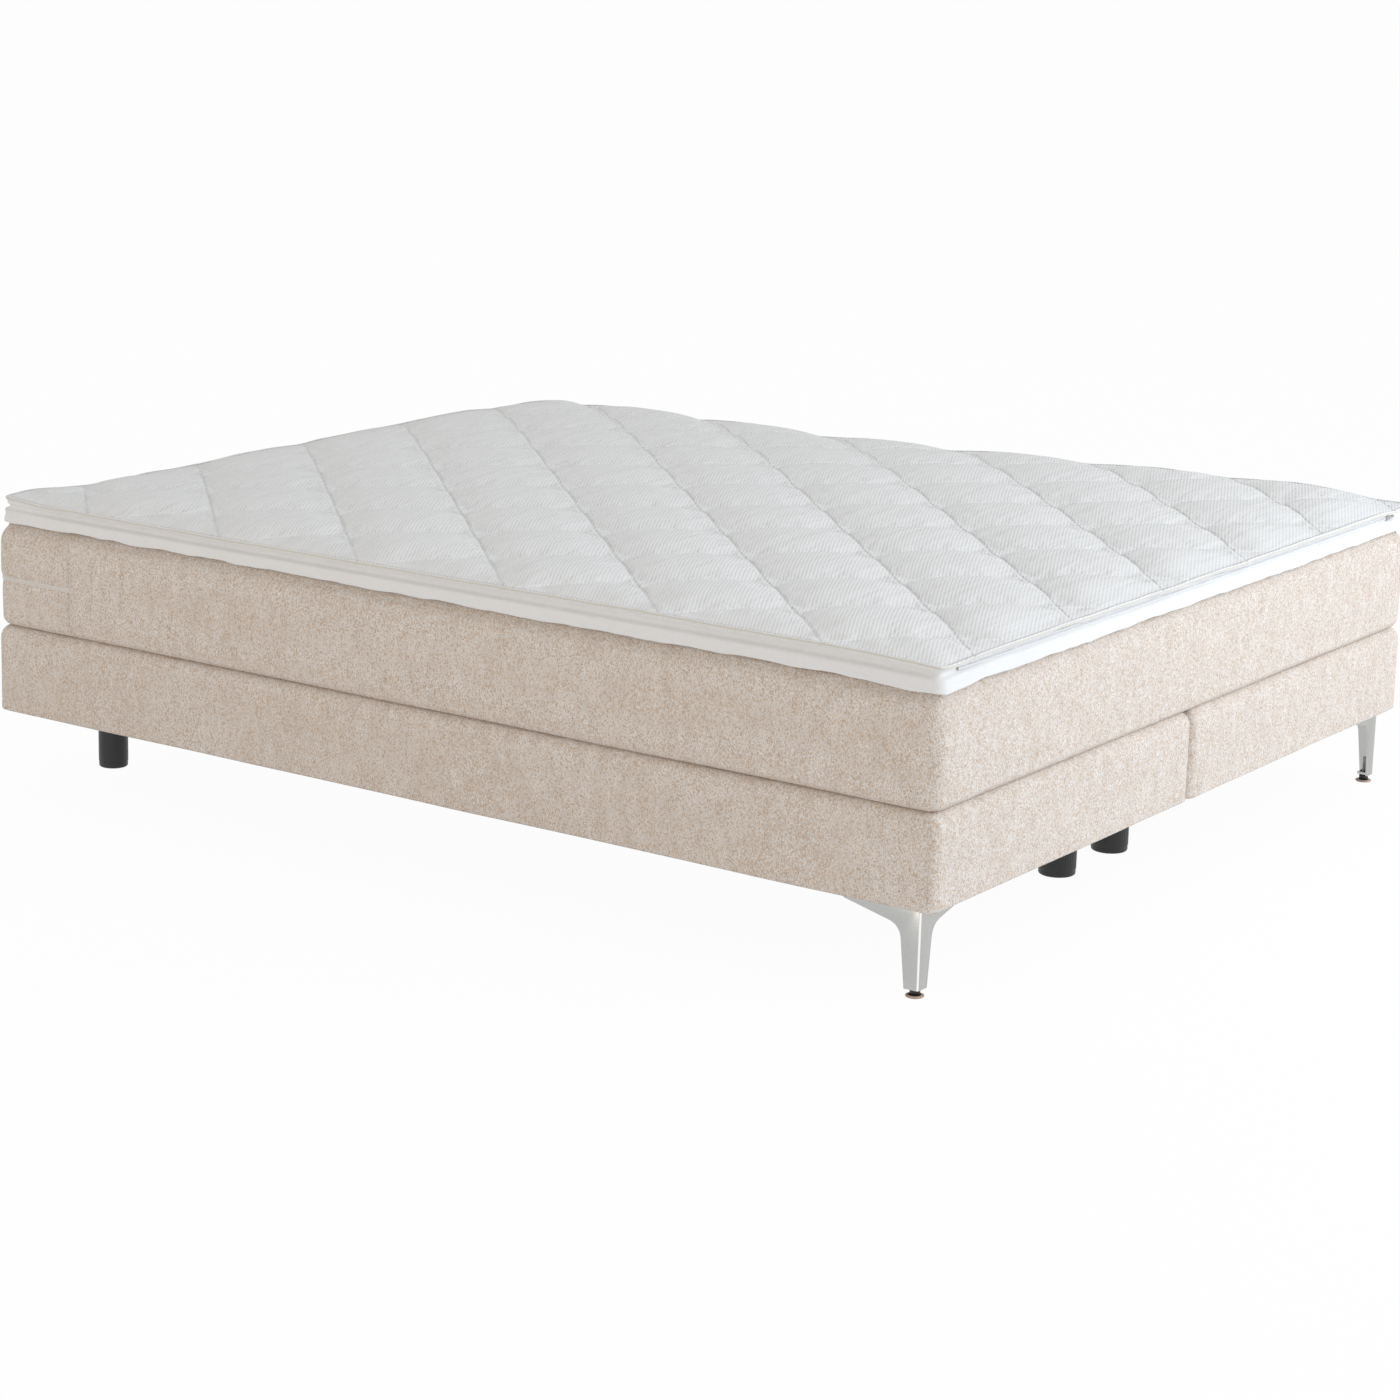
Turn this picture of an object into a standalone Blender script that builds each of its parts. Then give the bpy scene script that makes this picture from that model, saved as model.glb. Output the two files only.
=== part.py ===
"""A box spring bed: two upholstered bases on legs, one wide mattress and a quilted topper.

The origin is on the floor under the middle of the bed. X runs across the bed, Y runs towards
the head end and Z is up. Every size is in metres. Heights named *_bottom and *_top are above
the floor, and an inset is measured inwards from the outside of the piece that it shapes.
"""
import math

import bmesh
import bpy
from mathutils import Vector

# The whole bed
bed_width = 1.800
bed_length = 2.100
leg_height = 0.153
base_height = 0.170
mattress_height = 0.200
topper_height = 0.060

# Fits between pieces
touch_gap = 0.0003
stud_gap = 0.0005
weld_distance = 0.000001
overrun = 0.010

# How finely round shapes are divided
quarter_turn = math.pi / 2
corner_segments = 4
edge_segments = 3
turned_steps = 20
small_turned_steps = 14
hole_points = 12

# Upholstered bases
base_gap = 0.003
base_corner_radius = 0.022
base_top_radius = 0.028
base_bottom_radius = 0.006
tight_corner_share = 0.35
base_fabric = 0.003
hem_width = 0.025
dust_cover_thickness = 0.0015

# Wooden frame in each base
rail_thickness = 0.020
rail_height = 0.126
board_thickness = 0.018
board_margin = 0.030
cross_bar_width = 0.070
cross_bar_count = 2

# Pocket spring units
pocket_pitch = 0.070
pocket_bulge = 0.012
pocket_segments = 3

# Round black legs
outer_leg_radius = 0.029
inner_leg_radius = 0.035
black_leg_edge = 0.004
leg_stud_radius = 0.004
leg_stud_length = 0.014
outer_leg_side_inset = 0.250
inner_leg_centre_inset = 0.100
head_leg_inset = 0.065
foot_leg_inset = 0.210
coupling_thickness = 0.002
coupling_width = 0.050
coupling_margin = 0.030
coupling_corner_radius = 0.008

# Metal corner legs at the foot end
corner_leg_side_inset = 0.018
corner_leg_end_inset = 0.032
corner_leg_wall = 0.004
corner_leg_round = 0.006
corner_leg_plate = 0.004
corner_leg_plate_side = 0.080
corner_leg_step = 0.001
wing_length = 0.150
wing_tip_height = 0.006
wing_tip_width = 0.026
wing_slope_start = 0.062
wing_slope_drop = 0.027
blade_foot_width = 0.028
blade_neck_width = 0.037
blade_neck_drop = 0.055
blade_foot_height = 0.014
foot_web_thickness = 0.006
foot_web_width = 0.024
corner_stud_inset = 0.045
wing_screw_reach = 0.120
wing_screw_inset = 0.014

# Fasteners
screw_shank_radius = 0.002
screw_head_radius = 0.004
screw_head_height = 0.0025
screw_length = 0.016

# Levelling feet
levelling_stud_radius = 0.004
levelling_stud_length = 0.036
levelling_collar_radius = 0.009
levelling_collar_height = 0.0090
levelling_pad_radius = 0.016
levelling_pad_height = 0.0042
levelling_pad_edge = 0.001

# Mattress
mattress_corner_radius = 0.030
mattress_top_radius = 0.032
mattress_bottom_radius = 0.014
mattress_bulge = 0.003
mattress_band = 0.024
mattress_fabric = 0.004
mattress_top_foam_height = 0.036
mattress_bottom_foam_height = 0.020
edge_foam_width = 0.060

# Mattress zip, round the head end
mattress_zip_level = 0.090
mattress_zip_reach = 0.190
zip_slot_height = 0.010
zip_tape_height = 0.018
zip_tape_thickness = 0.0012
zip_tape_lap = 0.006
slider_length = 0.032
slider_height = 0.0080
slider_thickness = 0.0030
slider_hole_radius = 0.0010
slider_corner_margin = 0.050

# Topper
topper_corner_radius = 0.016
topper_base_thickness = 0.005
topper_base_edge = 0.002
topper_border_height = 0.038
topper_border_inset = 0.005
topper_border_draw = 0.006
topper_border_fabric = 0.003
topper_border_band = 0.012
topper_border_lip = 0.002
topper_seam_inset = 0.001
topper_seam_drop = 0.010
topper_zip_height = 0.009
topper_zip_drop = 0.013

# Quilting of the topper: diamonds between two families of diagonal channels
quilt_pitch_rising = 0.3255
quilt_start_rising = 0.080
quilt_pitch_falling = 0.3120
quilt_start_falling = -0.150
quilt_shoulder = 0.030
quilt_depth = 0.0080
quilt_puff = 0.0020
quilt_edge_band = 0.110
quilt_edge_line = 0.035

# Levels and widths that follow from the sizes above
base_width = (bed_width - base_gap) / 2
base_centre = (base_gap + base_width) / 2
base_top = leg_height + base_height
frame_bottom = leg_height + base_fabric + touch_gap
frame_top = frame_bottom + rail_height
frame_inset = base_fabric + touch_gap
frame_width = base_width - 2 * frame_inset
frame_length = bed_length - 2 * frame_inset
well_width = frame_width - 2 * (rail_thickness + touch_gap)
well_length = frame_length - 2 * (rail_thickness + touch_gap)
board_top = frame_bottom + board_thickness
leg_top = leg_height - touch_gap
coupling_bottom = leg_top - coupling_thickness
mattress_bottom = base_top + touch_gap
mattress_top = mattress_bottom + mattress_height
mattress_zip_height = mattress_bottom + mattress_zip_level
core_inset = mattress_bulge + mattress_fabric + touch_gap
topper_bottom = mattress_top + touch_gap
topper_top = topper_bottom + topper_height
border_bottom = topper_bottom + topper_base_thickness + touch_gap
border_top = border_bottom + topper_border_height
foot_end = -bed_length / 2
head_end = bed_length / 2

parts_collection_name = "box_spring_bed"
cutters_collection_name = "cutters"


def clear_scene():
    for item in list(bpy.data.objects):
        bpy.data.objects.remove(item, do_unlink=True)


def new_collection(name):
    collection = bpy.data.collections.new(name)
    bpy.context.scene.collection.children.link(collection)
    return collection


def new_material(name, colour, roughness, metallic=0.0):
    material = bpy.data.materials.new(name)
    material.use_nodes = True
    shader = material.node_tree.nodes["Principled BSDF"]
    shader.inputs["Base Color"].default_value = (*colour, 1.0)
    shader.inputs["Roughness"].default_value = roughness
    shader.inputs["Metallic"].default_value = metallic
    material.diffuse_color = (*colour, 1.0)
    return material


def add_part(name, mesh, material, location=(0, 0, 0), parent=None):
    """Link a mesh as a part, at a place given in the frame of the bed."""
    mesh.name = name
    mesh.materials.clear()
    mesh.materials.append(material)
    part = bpy.data.objects.new(name, mesh)
    bpy.data.collections[parts_collection_name].objects.link(part)
    part.location = Vector(location)
    if parent is not None:
        part.parent = parent
        part.location = Vector(location) - parent.location
    return part


def add_cutter(name, mesh, location=(0, 0, 0)):
    """Link a mesh as a construction shape that isn't part of the bed."""
    cutter = bpy.data.objects.new(name, mesh)
    bpy.data.collections[cutters_collection_name].objects.link(cutter)
    cutter.location = Vector(location)
    cutter.hide_render = True
    cutter.display_type = "WIRE"
    return cutter


def add_empty(name, location):
    empty = bpy.data.objects.new(name, None)
    bpy.data.collections[parts_collection_name].objects.link(empty)
    empty.location = Vector(location)
    return empty


def boolean(part, shape, operation):
    modifier = part.modifiers.new(f"{operation.lower()}_{shape.name}", "BOOLEAN")
    modifier.operation = operation
    modifier.object = shape
    modifier.solver = "EXACT"


def solidify(part, thickness):
    """Give an open surface a wall that grows inwards."""
    modifier = part.modifiers.new("wall", "SOLIDIFY")
    modifier.thickness = thickness
    modifier.offset = -1
    modifier.use_even_offset = True


def mesh_from(bm):
    """A mesh with its faces pointing outwards."""
    bmesh.ops.recalc_face_normals(bm, faces=bm.faces[:])
    if bm.calc_volume(signed=True) < 0:
        bmesh.ops.reverse_faces(bm, faces=bm.faces[:])
    mesh = bpy.data.meshes.new("shape")
    bm.to_mesh(mesh)
    bm.free()
    return mesh


def rounded_outline(width, length, radius, centre=(0, 0)):
    """Points of a rectangle with round corners, counter-clockwise."""
    points = []
    corners = ((1, 1), (-1, 1), (-1, -1), (1, -1))
    for index, (side, end) in enumerate(corners):
        corner_x = centre[0] + side * (width / 2 - radius)
        corner_y = centre[1] + end * (length / 2 - radius)
        for step in range(corner_segments + 1):
            turn = quarter_turn * (index + step / corner_segments)
            points.append((corner_x + radius * math.cos(turn), corner_y + radius * math.sin(turn)))
    return points


def rectangle(width, length, centre=(0, 0)):
    corners = ((1, 1), (-1, 1), (-1, -1), (1, -1))
    return [(centre[0] + side * width / 2, centre[1] + end * length / 2) for side, end in corners]


def circle(radius, centre=(0, 0)):
    turns = [4 * quarter_turn * index / hole_points for index in range(hole_points)]
    return [(centre[0] + radius * math.cos(turn), centre[1] + radius * math.sin(turn)) for turn in turns]


def plate_mesh(outlines, bottom, top):
    """A flat plate from its outline and its holes, between two heights."""
    curve = bpy.data.curves.new("outline", "CURVE")
    curve.dimensions = "2D"
    curve.fill_mode = "BOTH"
    curve.extrude = (top - bottom) / 2
    for outline in outlines:
        spline = curve.splines.new("POLY")
        spline.points.add(len(outline) - 1)
        for point, (across, along) in zip(spline.points, outline):
            point.co = (across, along, 0, 1)
        spline.use_cyclic_u = True
    holder = bpy.data.objects.new("outline", curve)
    bpy.context.scene.collection.objects.link(holder)
    graph = bpy.context.evaluated_depsgraph_get()
    mesh = bpy.data.meshes.new_from_object(holder.evaluated_get(graph))
    bpy.data.objects.remove(holder, do_unlink=True)
    bpy.data.curves.remove(curve)
    bm = bmesh.new()
    bm.from_mesh(mesh)
    bpy.data.meshes.remove(mesh)
    bmesh.ops.remove_doubles(bm, verts=bm.verts[:], dist=weld_distance)
    bmesh.ops.translate(bm, verts=bm.verts[:], vec=(0, 0, (bottom + top) / 2))
    return mesh_from(bm)


def block_mesh(size):
    """A plain block about its own centre."""
    bm = bmesh.new()
    bmesh.ops.create_cube(bm, size=1)
    bmesh.ops.scale(bm, verts=bm.verts[:], vec=size)
    return mesh_from(bm)


def rounded_levels(height, bottom_radius, top_radius):
    """Insets and heights, bottom to top, of a block whose long edges are round."""
    turns = [quarter_turn * step / edge_segments for step in range(edge_segments + 1)]
    lower = [(bottom_radius * (1 - math.sin(turn)), bottom_radius * (1 - math.cos(turn))) for turn in turns]
    upper = [(top_radius * (1 - math.sin(turn)), height - top_radius * (1 - math.cos(turn))) for turn in turns]
    lower = lower if bottom_radius else [(0, 0)]
    upper = upper[::-1] if top_radius else [(0, height)]
    return lower + upper


def inset_levels(levels, inset):
    """The same levels for a piece that lies deeper inside the same outline."""
    return [(inset + level_inset, height) for level_inset, height in levels]


def level_outline(width, length, radius, inset, centre=(0, 0)):
    """The outline of a block at one inset. Its corners tighten inwards, but never to a point."""
    ring_radius = max(radius - inset, radius * tight_corner_share)
    return rounded_outline(width - 2 * inset, length - 2 * inset, ring_radius, centre)


def stacked_mesh(width, length, radius, levels, open_ends=0):
    """A block raised through levels, each an inset of its outline at a height.

    open_ends 1 leaves the bottom open, and 2 leaves the top open as well.
    """
    bm = bmesh.new()
    inset, height = levels[0]
    points = level_outline(width, length, radius, inset)
    floor = bm.faces.new([bm.verts.new((x, y, height)) for x, y in points])
    lid = floor
    for inset, height in levels[1:]:
        raised = bmesh.ops.extrude_face_region(bm, geom=[lid])["geom"]
        old_lid = lid
        lid = [item for item in raised if isinstance(item, bmesh.types.BMFace)][0]
        if old_lid.is_valid and old_lid is not floor:
            bm.faces.remove(old_lid)
        new_points = level_outline(width, length, radius, inset)
        for vert in lid.verts:
            index = min(range(len(points)), key=lambda item: math.dist(points[item], vert.co.xy))
            vert.co = (*new_points[index], height)
        points = new_points
    if open_ends > 0:
        bmesh.ops.delete(bm, geom=[floor], context="FACES_ONLY")
    if open_ends > 1:
        bmesh.ops.delete(bm, geom=[lid], context="FACES_ONLY")
    return mesh_from(bm)


def turned_part(name, profile, material, location, parent=None, steps=turned_steps):
    """A round piece from its profile, which runs from the axis at the top to the axis below."""
    bm = bmesh.new()
    verts = [bm.verts.new((radius, 0, height)) for radius, height in profile]
    for above, below in zip(verts, verts[1:]):
        bm.edges.new((above, below))
    mesh = bpy.data.meshes.new(name)
    bm.to_mesh(mesh)
    bm.free()
    part = add_part(name, mesh, material, location, parent)
    screw = part.modifiers.new("turn", "SCREW")
    screw.axis = "Z"
    screw.steps = steps
    screw.render_steps = steps
    screw.use_merge_vertices = True
    screw.merge_threshold = weld_distance
    screw.use_smooth_shade = True
    return part


def round_edges(bm, edges, radius, segments):
    bmesh.ops.bevel(bm, geom=edges, offset=radius, offset_type="OFFSET", segments=segments,
                    profile=0.5, affect="EDGES", material=-1)


def lowest_edges(bm):
    low = min(vert.co.z for vert in bm.verts)
    return [edge for edge in bm.edges if all(vert.co.z - low < touch_gap for vert in edge.verts)]


def side_rail_mesh(outer_side):
    """A long rail whose outer edges are rounded to follow the corners and the hem of the cover."""
    bm = bmesh.new()
    bmesh.ops.create_cube(bm, size=1)
    bmesh.ops.scale(bm, verts=bm.verts[:], vec=(rail_thickness, frame_length, rail_height))
    outer = [edge for edge in bm.edges if all(vert.co.x * outer_side > 0 for vert in edge.verts)]
    upright = [edge for edge in outer if abs(edge.verts[0].co.z - edge.verts[1].co.z) > touch_gap]
    round_edges(bm, upright, base_corner_radius - frame_inset, corner_segments)
    inner_face = -outer_side * rail_thickness / 2
    low = [edge for edge in lowest_edges(bm)
           if any(abs(vert.co.x - inner_face) > touch_gap for vert in edge.verts)]
    round_edges(bm, low, base_bottom_radius - frame_inset, edge_segments)
    return mesh_from(bm)


def end_rail_mesh(end):
    """A rail across one end, with its outer lower edge rounded to follow the hem."""
    bm = bmesh.new()
    bmesh.ops.create_cube(bm, size=1)
    bmesh.ops.scale(bm, verts=bm.verts[:], vec=(well_width, rail_thickness, rail_height))
    low = [edge for edge in lowest_edges(bm) if all(vert.co.y * end > 0 for vert in edge.verts)]
    round_edges(bm, low, base_bottom_radius - frame_inset, edge_segments)
    return mesh_from(bm)


def pocket_outline(width, length):
    """The outline of a block of round spring pockets that stand side by side."""
    points = []
    across_count = max(1, round(width / pocket_pitch))
    along_count = max(1, round(length / pocket_pitch))
    inner_x = width / 2 - pocket_bulge
    inner_y = length / 2 - pocket_bulge
    sides = (
        (Vector((-inner_x, -inner_y)), Vector((inner_x, -inner_y)), across_count),
        (Vector((inner_x, -inner_y)), Vector((inner_x, inner_y)), along_count),
        (Vector((inner_x, inner_y)), Vector((-inner_x, inner_y)), across_count),
        (Vector((-inner_x, inner_y)), Vector((-inner_x, -inner_y)), along_count),
    )
    for start, end, count in sides:
        run = (end - start) / count
        outwards = Vector((run.y, -run.x)).normalized()
        for pocket in range(count):
            for step in range(pocket_segments):
                share = step / pocket_segments
                bulge = pocket_bulge * math.sin(math.pi * share)
                points.append(tuple(start + run * (pocket + share) + outwards * bulge))
    return points


def leg_places(sign):
    """Where the studs of one base go: each as a name, a place across and a place along."""
    outer = sign * (bed_width / 2 - outer_leg_side_inset)
    inner = sign * inner_leg_centre_inset
    return {
        "foot_inner": (inner, foot_end + foot_leg_inset),
        "head_inner": (inner, head_end - head_leg_inset),
        "head_outer": (outer, head_end - head_leg_inset),
    }


def corner_leg_point(sign, inwards, along):
    """A place near a corner leg, counted from its outer corner."""
    across = sign * (bed_width / 2 - corner_leg_side_inset - inwards)
    return (across, foot_end + corner_leg_end_inset + along)


def wing_screw_places(sign):
    return (
        corner_leg_point(sign, wing_screw_inset, wing_screw_reach),
        corner_leg_point(sign, wing_screw_reach, wing_screw_inset),
    )


def underside_holes(sign, stud_radius, screw_radius):
    """Round holes, in the frame of the bed, for everything screwed into one base."""
    studs = list(leg_places(sign).values()) + [corner_leg_point(sign, corner_stud_inset, corner_stud_inset)]
    holes = [(stud_radius, place) for place in studs]
    holes += [(screw_radius, place) for place in wing_screw_places(sign)]
    return holes


def board_mesh(sign, near_end, far_end):
    """A leg board across the frame, bored for the studs and screws that meet it."""
    centre = (sign * base_centre, (near_end + far_end) / 2)
    outlines = [rectangle(well_width, far_end - near_end, centre)]
    holes = underside_holes(sign, leg_stud_radius + stud_gap, screw_shank_radius + stud_gap)
    for radius, place in holes:
        if near_end < place[1] < far_end:
            outlines.append(circle(radius, place))
    return plate_mesh(outlines, frame_bottom, board_top)


def build_cover(side, sign, material):
    """The fabric over one base: top, four sides and a hem turned in under the frame."""
    levels = [(hem_width, 0)] + rounded_levels(base_height, base_bottom_radius, base_top_radius)
    mesh = stacked_mesh(base_width, bed_length, base_corner_radius, levels, open_ends=1)
    cover = add_part(f"{side}_base_cover", mesh, material, (sign * base_centre, 0, leg_height))
    solidify(cover, base_fabric)


def build_frame(side, sign, material):
    """Two side rails, two end rails, two leg boards and the cross bars between them."""
    rail_middle = frame_bottom + rail_height / 2
    for place, outer_side in (("outer", sign), ("inner", -sign)):
        across = sign * base_centre + outer_side * (frame_width - rail_thickness) / 2
        add_part(f"{side}_{place}_side_rail", side_rail_mesh(outer_side), material, (across, 0, rail_middle))
    for place, end in (("foot", -1), ("head", 1)):
        along = end * (frame_length - rail_thickness) / 2
        centre = (sign * base_centre, along, rail_middle)
        add_part(f"{side}_{place}_rail", end_rail_mesh(end), material, centre)
    foot_far = foot_end + foot_leg_inset + board_margin
    head_near = head_end - head_leg_inset - board_margin
    add_part(f"{side}_foot_leg_board", board_mesh(sign, -well_length / 2, foot_far), material)
    add_part(f"{side}_head_leg_board", board_mesh(sign, head_near, well_length / 2), material)
    spacing = (head_near - foot_far) / (cross_bar_count + 1)
    for index in range(cross_bar_count):
        size = (well_width, cross_bar_width, board_thickness)
        place = (sign * base_centre, foot_far + spacing * (index + 1), frame_bottom + board_thickness / 2)
        add_part(f"{side}_cross_bar_{index + 1}", block_mesh(size), material, place)


def build_base_filling(side, sign, spring_material, foam_material, sheet_material):
    """Springs between the rails, foam over both, and the dust cover inside the hem."""
    outline = pocket_outline(well_width, well_length)
    springs = plate_mesh([outline], board_top + touch_gap, frame_top)
    add_part(f"{side}_base_springs", springs, spring_material, (sign * base_centre, 0, 0))
    foam_bottom = frame_top + touch_gap
    foam_height = base_top - frame_inset - foam_bottom
    levels = inset_levels(rounded_levels(foam_height, 0, base_top_radius - frame_inset), frame_inset)
    foam = stacked_mesh(base_width, bed_length, base_corner_radius, levels)
    add_part(f"{side}_base_foam", foam, foam_material, (sign * base_centre, 0, foam_bottom))
    sheet_inset = hem_width + touch_gap
    centre = (sign * base_centre, 0)
    outlines = [level_outline(base_width, bed_length, base_corner_radius, sheet_inset, centre)]
    holes = underside_holes(sign, leg_stud_radius + stud_gap, screw_shank_radius + stud_gap)
    outlines += [circle(radius, place) for radius, place in holes]
    sheet = plate_mesh(outlines, leg_height, leg_height + dust_cover_thickness)
    add_part(f"{side}_dust_cover", sheet, sheet_material)


def black_leg_profile(radius, top):
    """Outer line of a turned leg with its stud, from the top down."""
    stud_top = frame_bottom + leg_stud_length
    turns = [quarter_turn * step / edge_segments for step in range(edge_segments + 1)]
    foot = [(radius - black_leg_edge * (1 - math.cos(turn)), black_leg_edge * (1 - math.sin(turn)))
            for turn in turns]
    return [(0, stud_top), (leg_stud_radius, stud_top), (leg_stud_radius, top), (radius, top)] + foot + [(0, 0)]


def build_black_legs(side, sign, material):
    for place, (across, along) in leg_places(sign).items():
        inner = place != "head_outer"
        top = coupling_bottom - touch_gap if inner else leg_top
        radius = inner_leg_radius if place == "foot_inner" else outer_leg_radius
        turned_part(f"{side}_{place}_leg", black_leg_profile(radius, top), material, (across, along, 0))


def wing_cutter_outline():
    """What is cut away under a wing: along the wing from the corner, and up from the floor."""
    neck = Vector((blade_neck_width, leg_top - blade_neck_drop))
    slope = Vector((wing_slope_start, leg_top - wing_slope_drop))
    tip = Vector((wing_length, leg_top - wing_tip_height))
    foot = Vector((blade_foot_width, blade_foot_height))
    rise = neck - foot
    run = slope - tip
    reach = ((slope - neck).x * run.y - (slope - neck).y * run.x) / (rise.x * run.y - rise.y * run.x)
    bend = neck + rise * reach
    points = [(blade_foot_width, -overrun), tuple(foot)]
    arc_steps = 2 * corner_segments
    for step in range(arc_steps + 1):
        share = step / arc_steps
        points.append(tuple(neck * (1 - share) ** 2 + bend * 2 * share * (1 - share) + slope * share ** 2))
    points += [tuple(tip), (wing_length + overrun, tip.y), (wing_length + overrun, -overrun)]
    return points


def corner_wall_outline(sign):
    """The two walls of a corner leg seen from above, with a round outer corner."""
    outline = []
    for step in range(corner_segments + 1):
        turn = quarter_turn * step / corner_segments
        outline.append((corner_leg_round * (1 - math.sin(turn)), corner_leg_round * (1 - math.cos(turn))))
    outline = outline[::-1]
    outline += [(wing_length, 0), (wing_length, corner_leg_wall), (corner_leg_wall, corner_leg_wall),
                (corner_leg_wall, wing_length), (0, wing_length)]
    return [corner_leg_point(sign, inwards, along) for inwards, along in outline]


def corner_plate_outline(sign):
    """The top plate of a corner leg: a square pad with an arm over each wing."""
    near = corner_leg_step
    outline = ((near, near), (wing_length - near, near), (wing_length - near, wing_tip_width),
               (corner_leg_plate_side, corner_leg_plate_side), (wing_tip_width, wing_length - near),
               (near, wing_length - near))
    return [corner_leg_point(sign, inwards, along) for inwards, along in outline]


def stand_up(mesh, across_axis):
    """Turn a flat plate upright: its outline then runs along one axis and up."""
    bm = bmesh.new()
    bm.from_mesh(mesh)
    for vert in bm.verts:
        along, up, depth = vert.co
        vert.co = (depth, along, up) if across_axis == "X" else (along, depth, up)
    bm_mesh = mesh_from(bm)
    bpy.data.meshes.remove(mesh)
    return bm_mesh


def build_corner_leg(side, sign, material):
    """A cast corner leg: two tapering blades with wings, a top plate with its stud and a foot web."""
    corner = corner_leg_point(sign, 0, 0)
    name = f"{side}_corner_leg"
    walls = plate_mesh([corner_wall_outline(sign)], blade_foot_height, leg_top - corner_leg_step)
    leg = add_part(name, walls, material)

    reach = wing_length + overrun
    along_cut = stand_up(plate_mesh([wing_cutter_outline()], -reach, reach), "X")
    boolean(leg, add_cutter(f"{name}_long_cut", along_cut, (corner[0], corner[1], 0)), "DIFFERENCE")
    across_outline = [(-sign * reach_out, up) for reach_out, up in wing_cutter_outline()]
    across_cut = stand_up(plate_mesh([across_outline], -reach, reach), "Y")
    boolean(leg, add_cutter(f"{name}_cross_cut", across_cut, (corner[0], corner[1], 0)), "DIFFERENCE")

    screw_holes = [circle(screw_shank_radius + stud_gap, place) for place in wing_screw_places(sign)]
    plate = plate_mesh([corner_plate_outline(sign)] + screw_holes, leg_top - corner_leg_plate, leg_top)
    boolean(leg, add_cutter(f"{name}_plate", plate), "UNION")

    stud_place = corner_leg_point(sign, corner_stud_inset, corner_stud_inset)
    stud = plate_mesh([circle(leg_stud_radius, stud_place)], leg_top - corner_leg_plate / 2,
                      frame_bottom + leg_stud_length)
    boolean(leg, add_cutter(f"{name}_stud", stud), "UNION")

    web_start = corner_leg_wall / 2
    web_centre = corner_leg_point(sign, (web_start + foot_web_width) / 2, (web_start + foot_web_width) / 2)
    web_side = foot_web_width - web_start
    bore = circle(levelling_stud_radius + stud_gap, levelling_place(sign))
    web = plate_mesh([rectangle(web_side, web_side, web_centre), bore],
                     blade_foot_height + corner_leg_step, blade_foot_height + foot_web_thickness)
    boolean(leg, add_cutter(f"{name}_web", web), "UNION")


def levelling_place(sign):
    """The axis of a levelling foot, in the middle of the web of its corner leg."""
    middle = (corner_leg_wall + foot_web_width) / 2
    return corner_leg_point(sign, middle, middle)


def build_wing_screws(side, sign, material):
    """Wood screws through the wings of a corner leg, with their heads under the plate."""
    head_top = leg_top - corner_leg_plate - touch_gap
    head_bottom = head_top - screw_head_height
    tip = head_top + screw_length
    shoulder = tip - 2 * screw_shank_radius
    profile = [(0, tip), (screw_shank_radius, shoulder), (screw_shank_radius, head_top),
               (screw_head_radius, head_top), (screw_head_radius, (head_top + head_bottom) / 2),
               (screw_shank_radius, head_bottom), (0, head_bottom)]
    for index, (across, along) in enumerate(wing_screw_places(sign)):
        name = f"{side}_leg_screw_{index + 1}"
        turned_part(name, profile, material, (across, along, 0), steps=small_turned_steps)


def build_levelling_foot(side, sign, metal, rubber):
    """A threaded stud with its collar, standing on a round pad."""
    place = levelling_place(sign)
    axis = add_empty(f"{side}_levelling_axis", (*place, 0))
    edge = levelling_pad_edge
    pad = [(0, levelling_pad_height), (levelling_pad_radius - edge, levelling_pad_height),
           (levelling_pad_radius, levelling_pad_height - edge), (levelling_pad_radius, edge),
           (levelling_pad_radius - edge, 0), (0, 0)]
    turned_part(f"{side}_levelling_pad", pad, rubber, (*place, 0), axis)
    collar_bottom = levelling_pad_height + touch_gap
    collar_top = collar_bottom + levelling_collar_height
    stud_top = collar_top + levelling_stud_length
    stud = [(0, stud_top), (levelling_stud_radius - edge, stud_top),
            (levelling_stud_radius, stud_top - edge), (levelling_stud_radius, collar_top),
            (levelling_collar_radius, collar_top), (levelling_collar_radius, collar_bottom), (0, collar_bottom)]
    turned_part(f"{side}_levelling_stud", stud, metal, (*place, 0), axis, small_turned_steps)


def build_couplings(material):
    """Flat straps that hold the bases together, each clamped by the two inner legs at one end."""
    ends = (("foot", foot_end + foot_leg_inset), ("head", head_end - head_leg_inset))
    for name, along in ends:
        length = 2 * (inner_leg_centre_inset + coupling_margin)
        outlines = [rounded_outline(length, coupling_width, coupling_corner_radius, (0, along))]
        for sign in (-1, 1):
            outlines.append(circle(leg_stud_radius + stud_gap, (sign * inner_leg_centre_inset, along)))
        add_part(f"{name}_coupling_strap", plate_mesh(outlines, coupling_bottom, leg_top), material)


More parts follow.
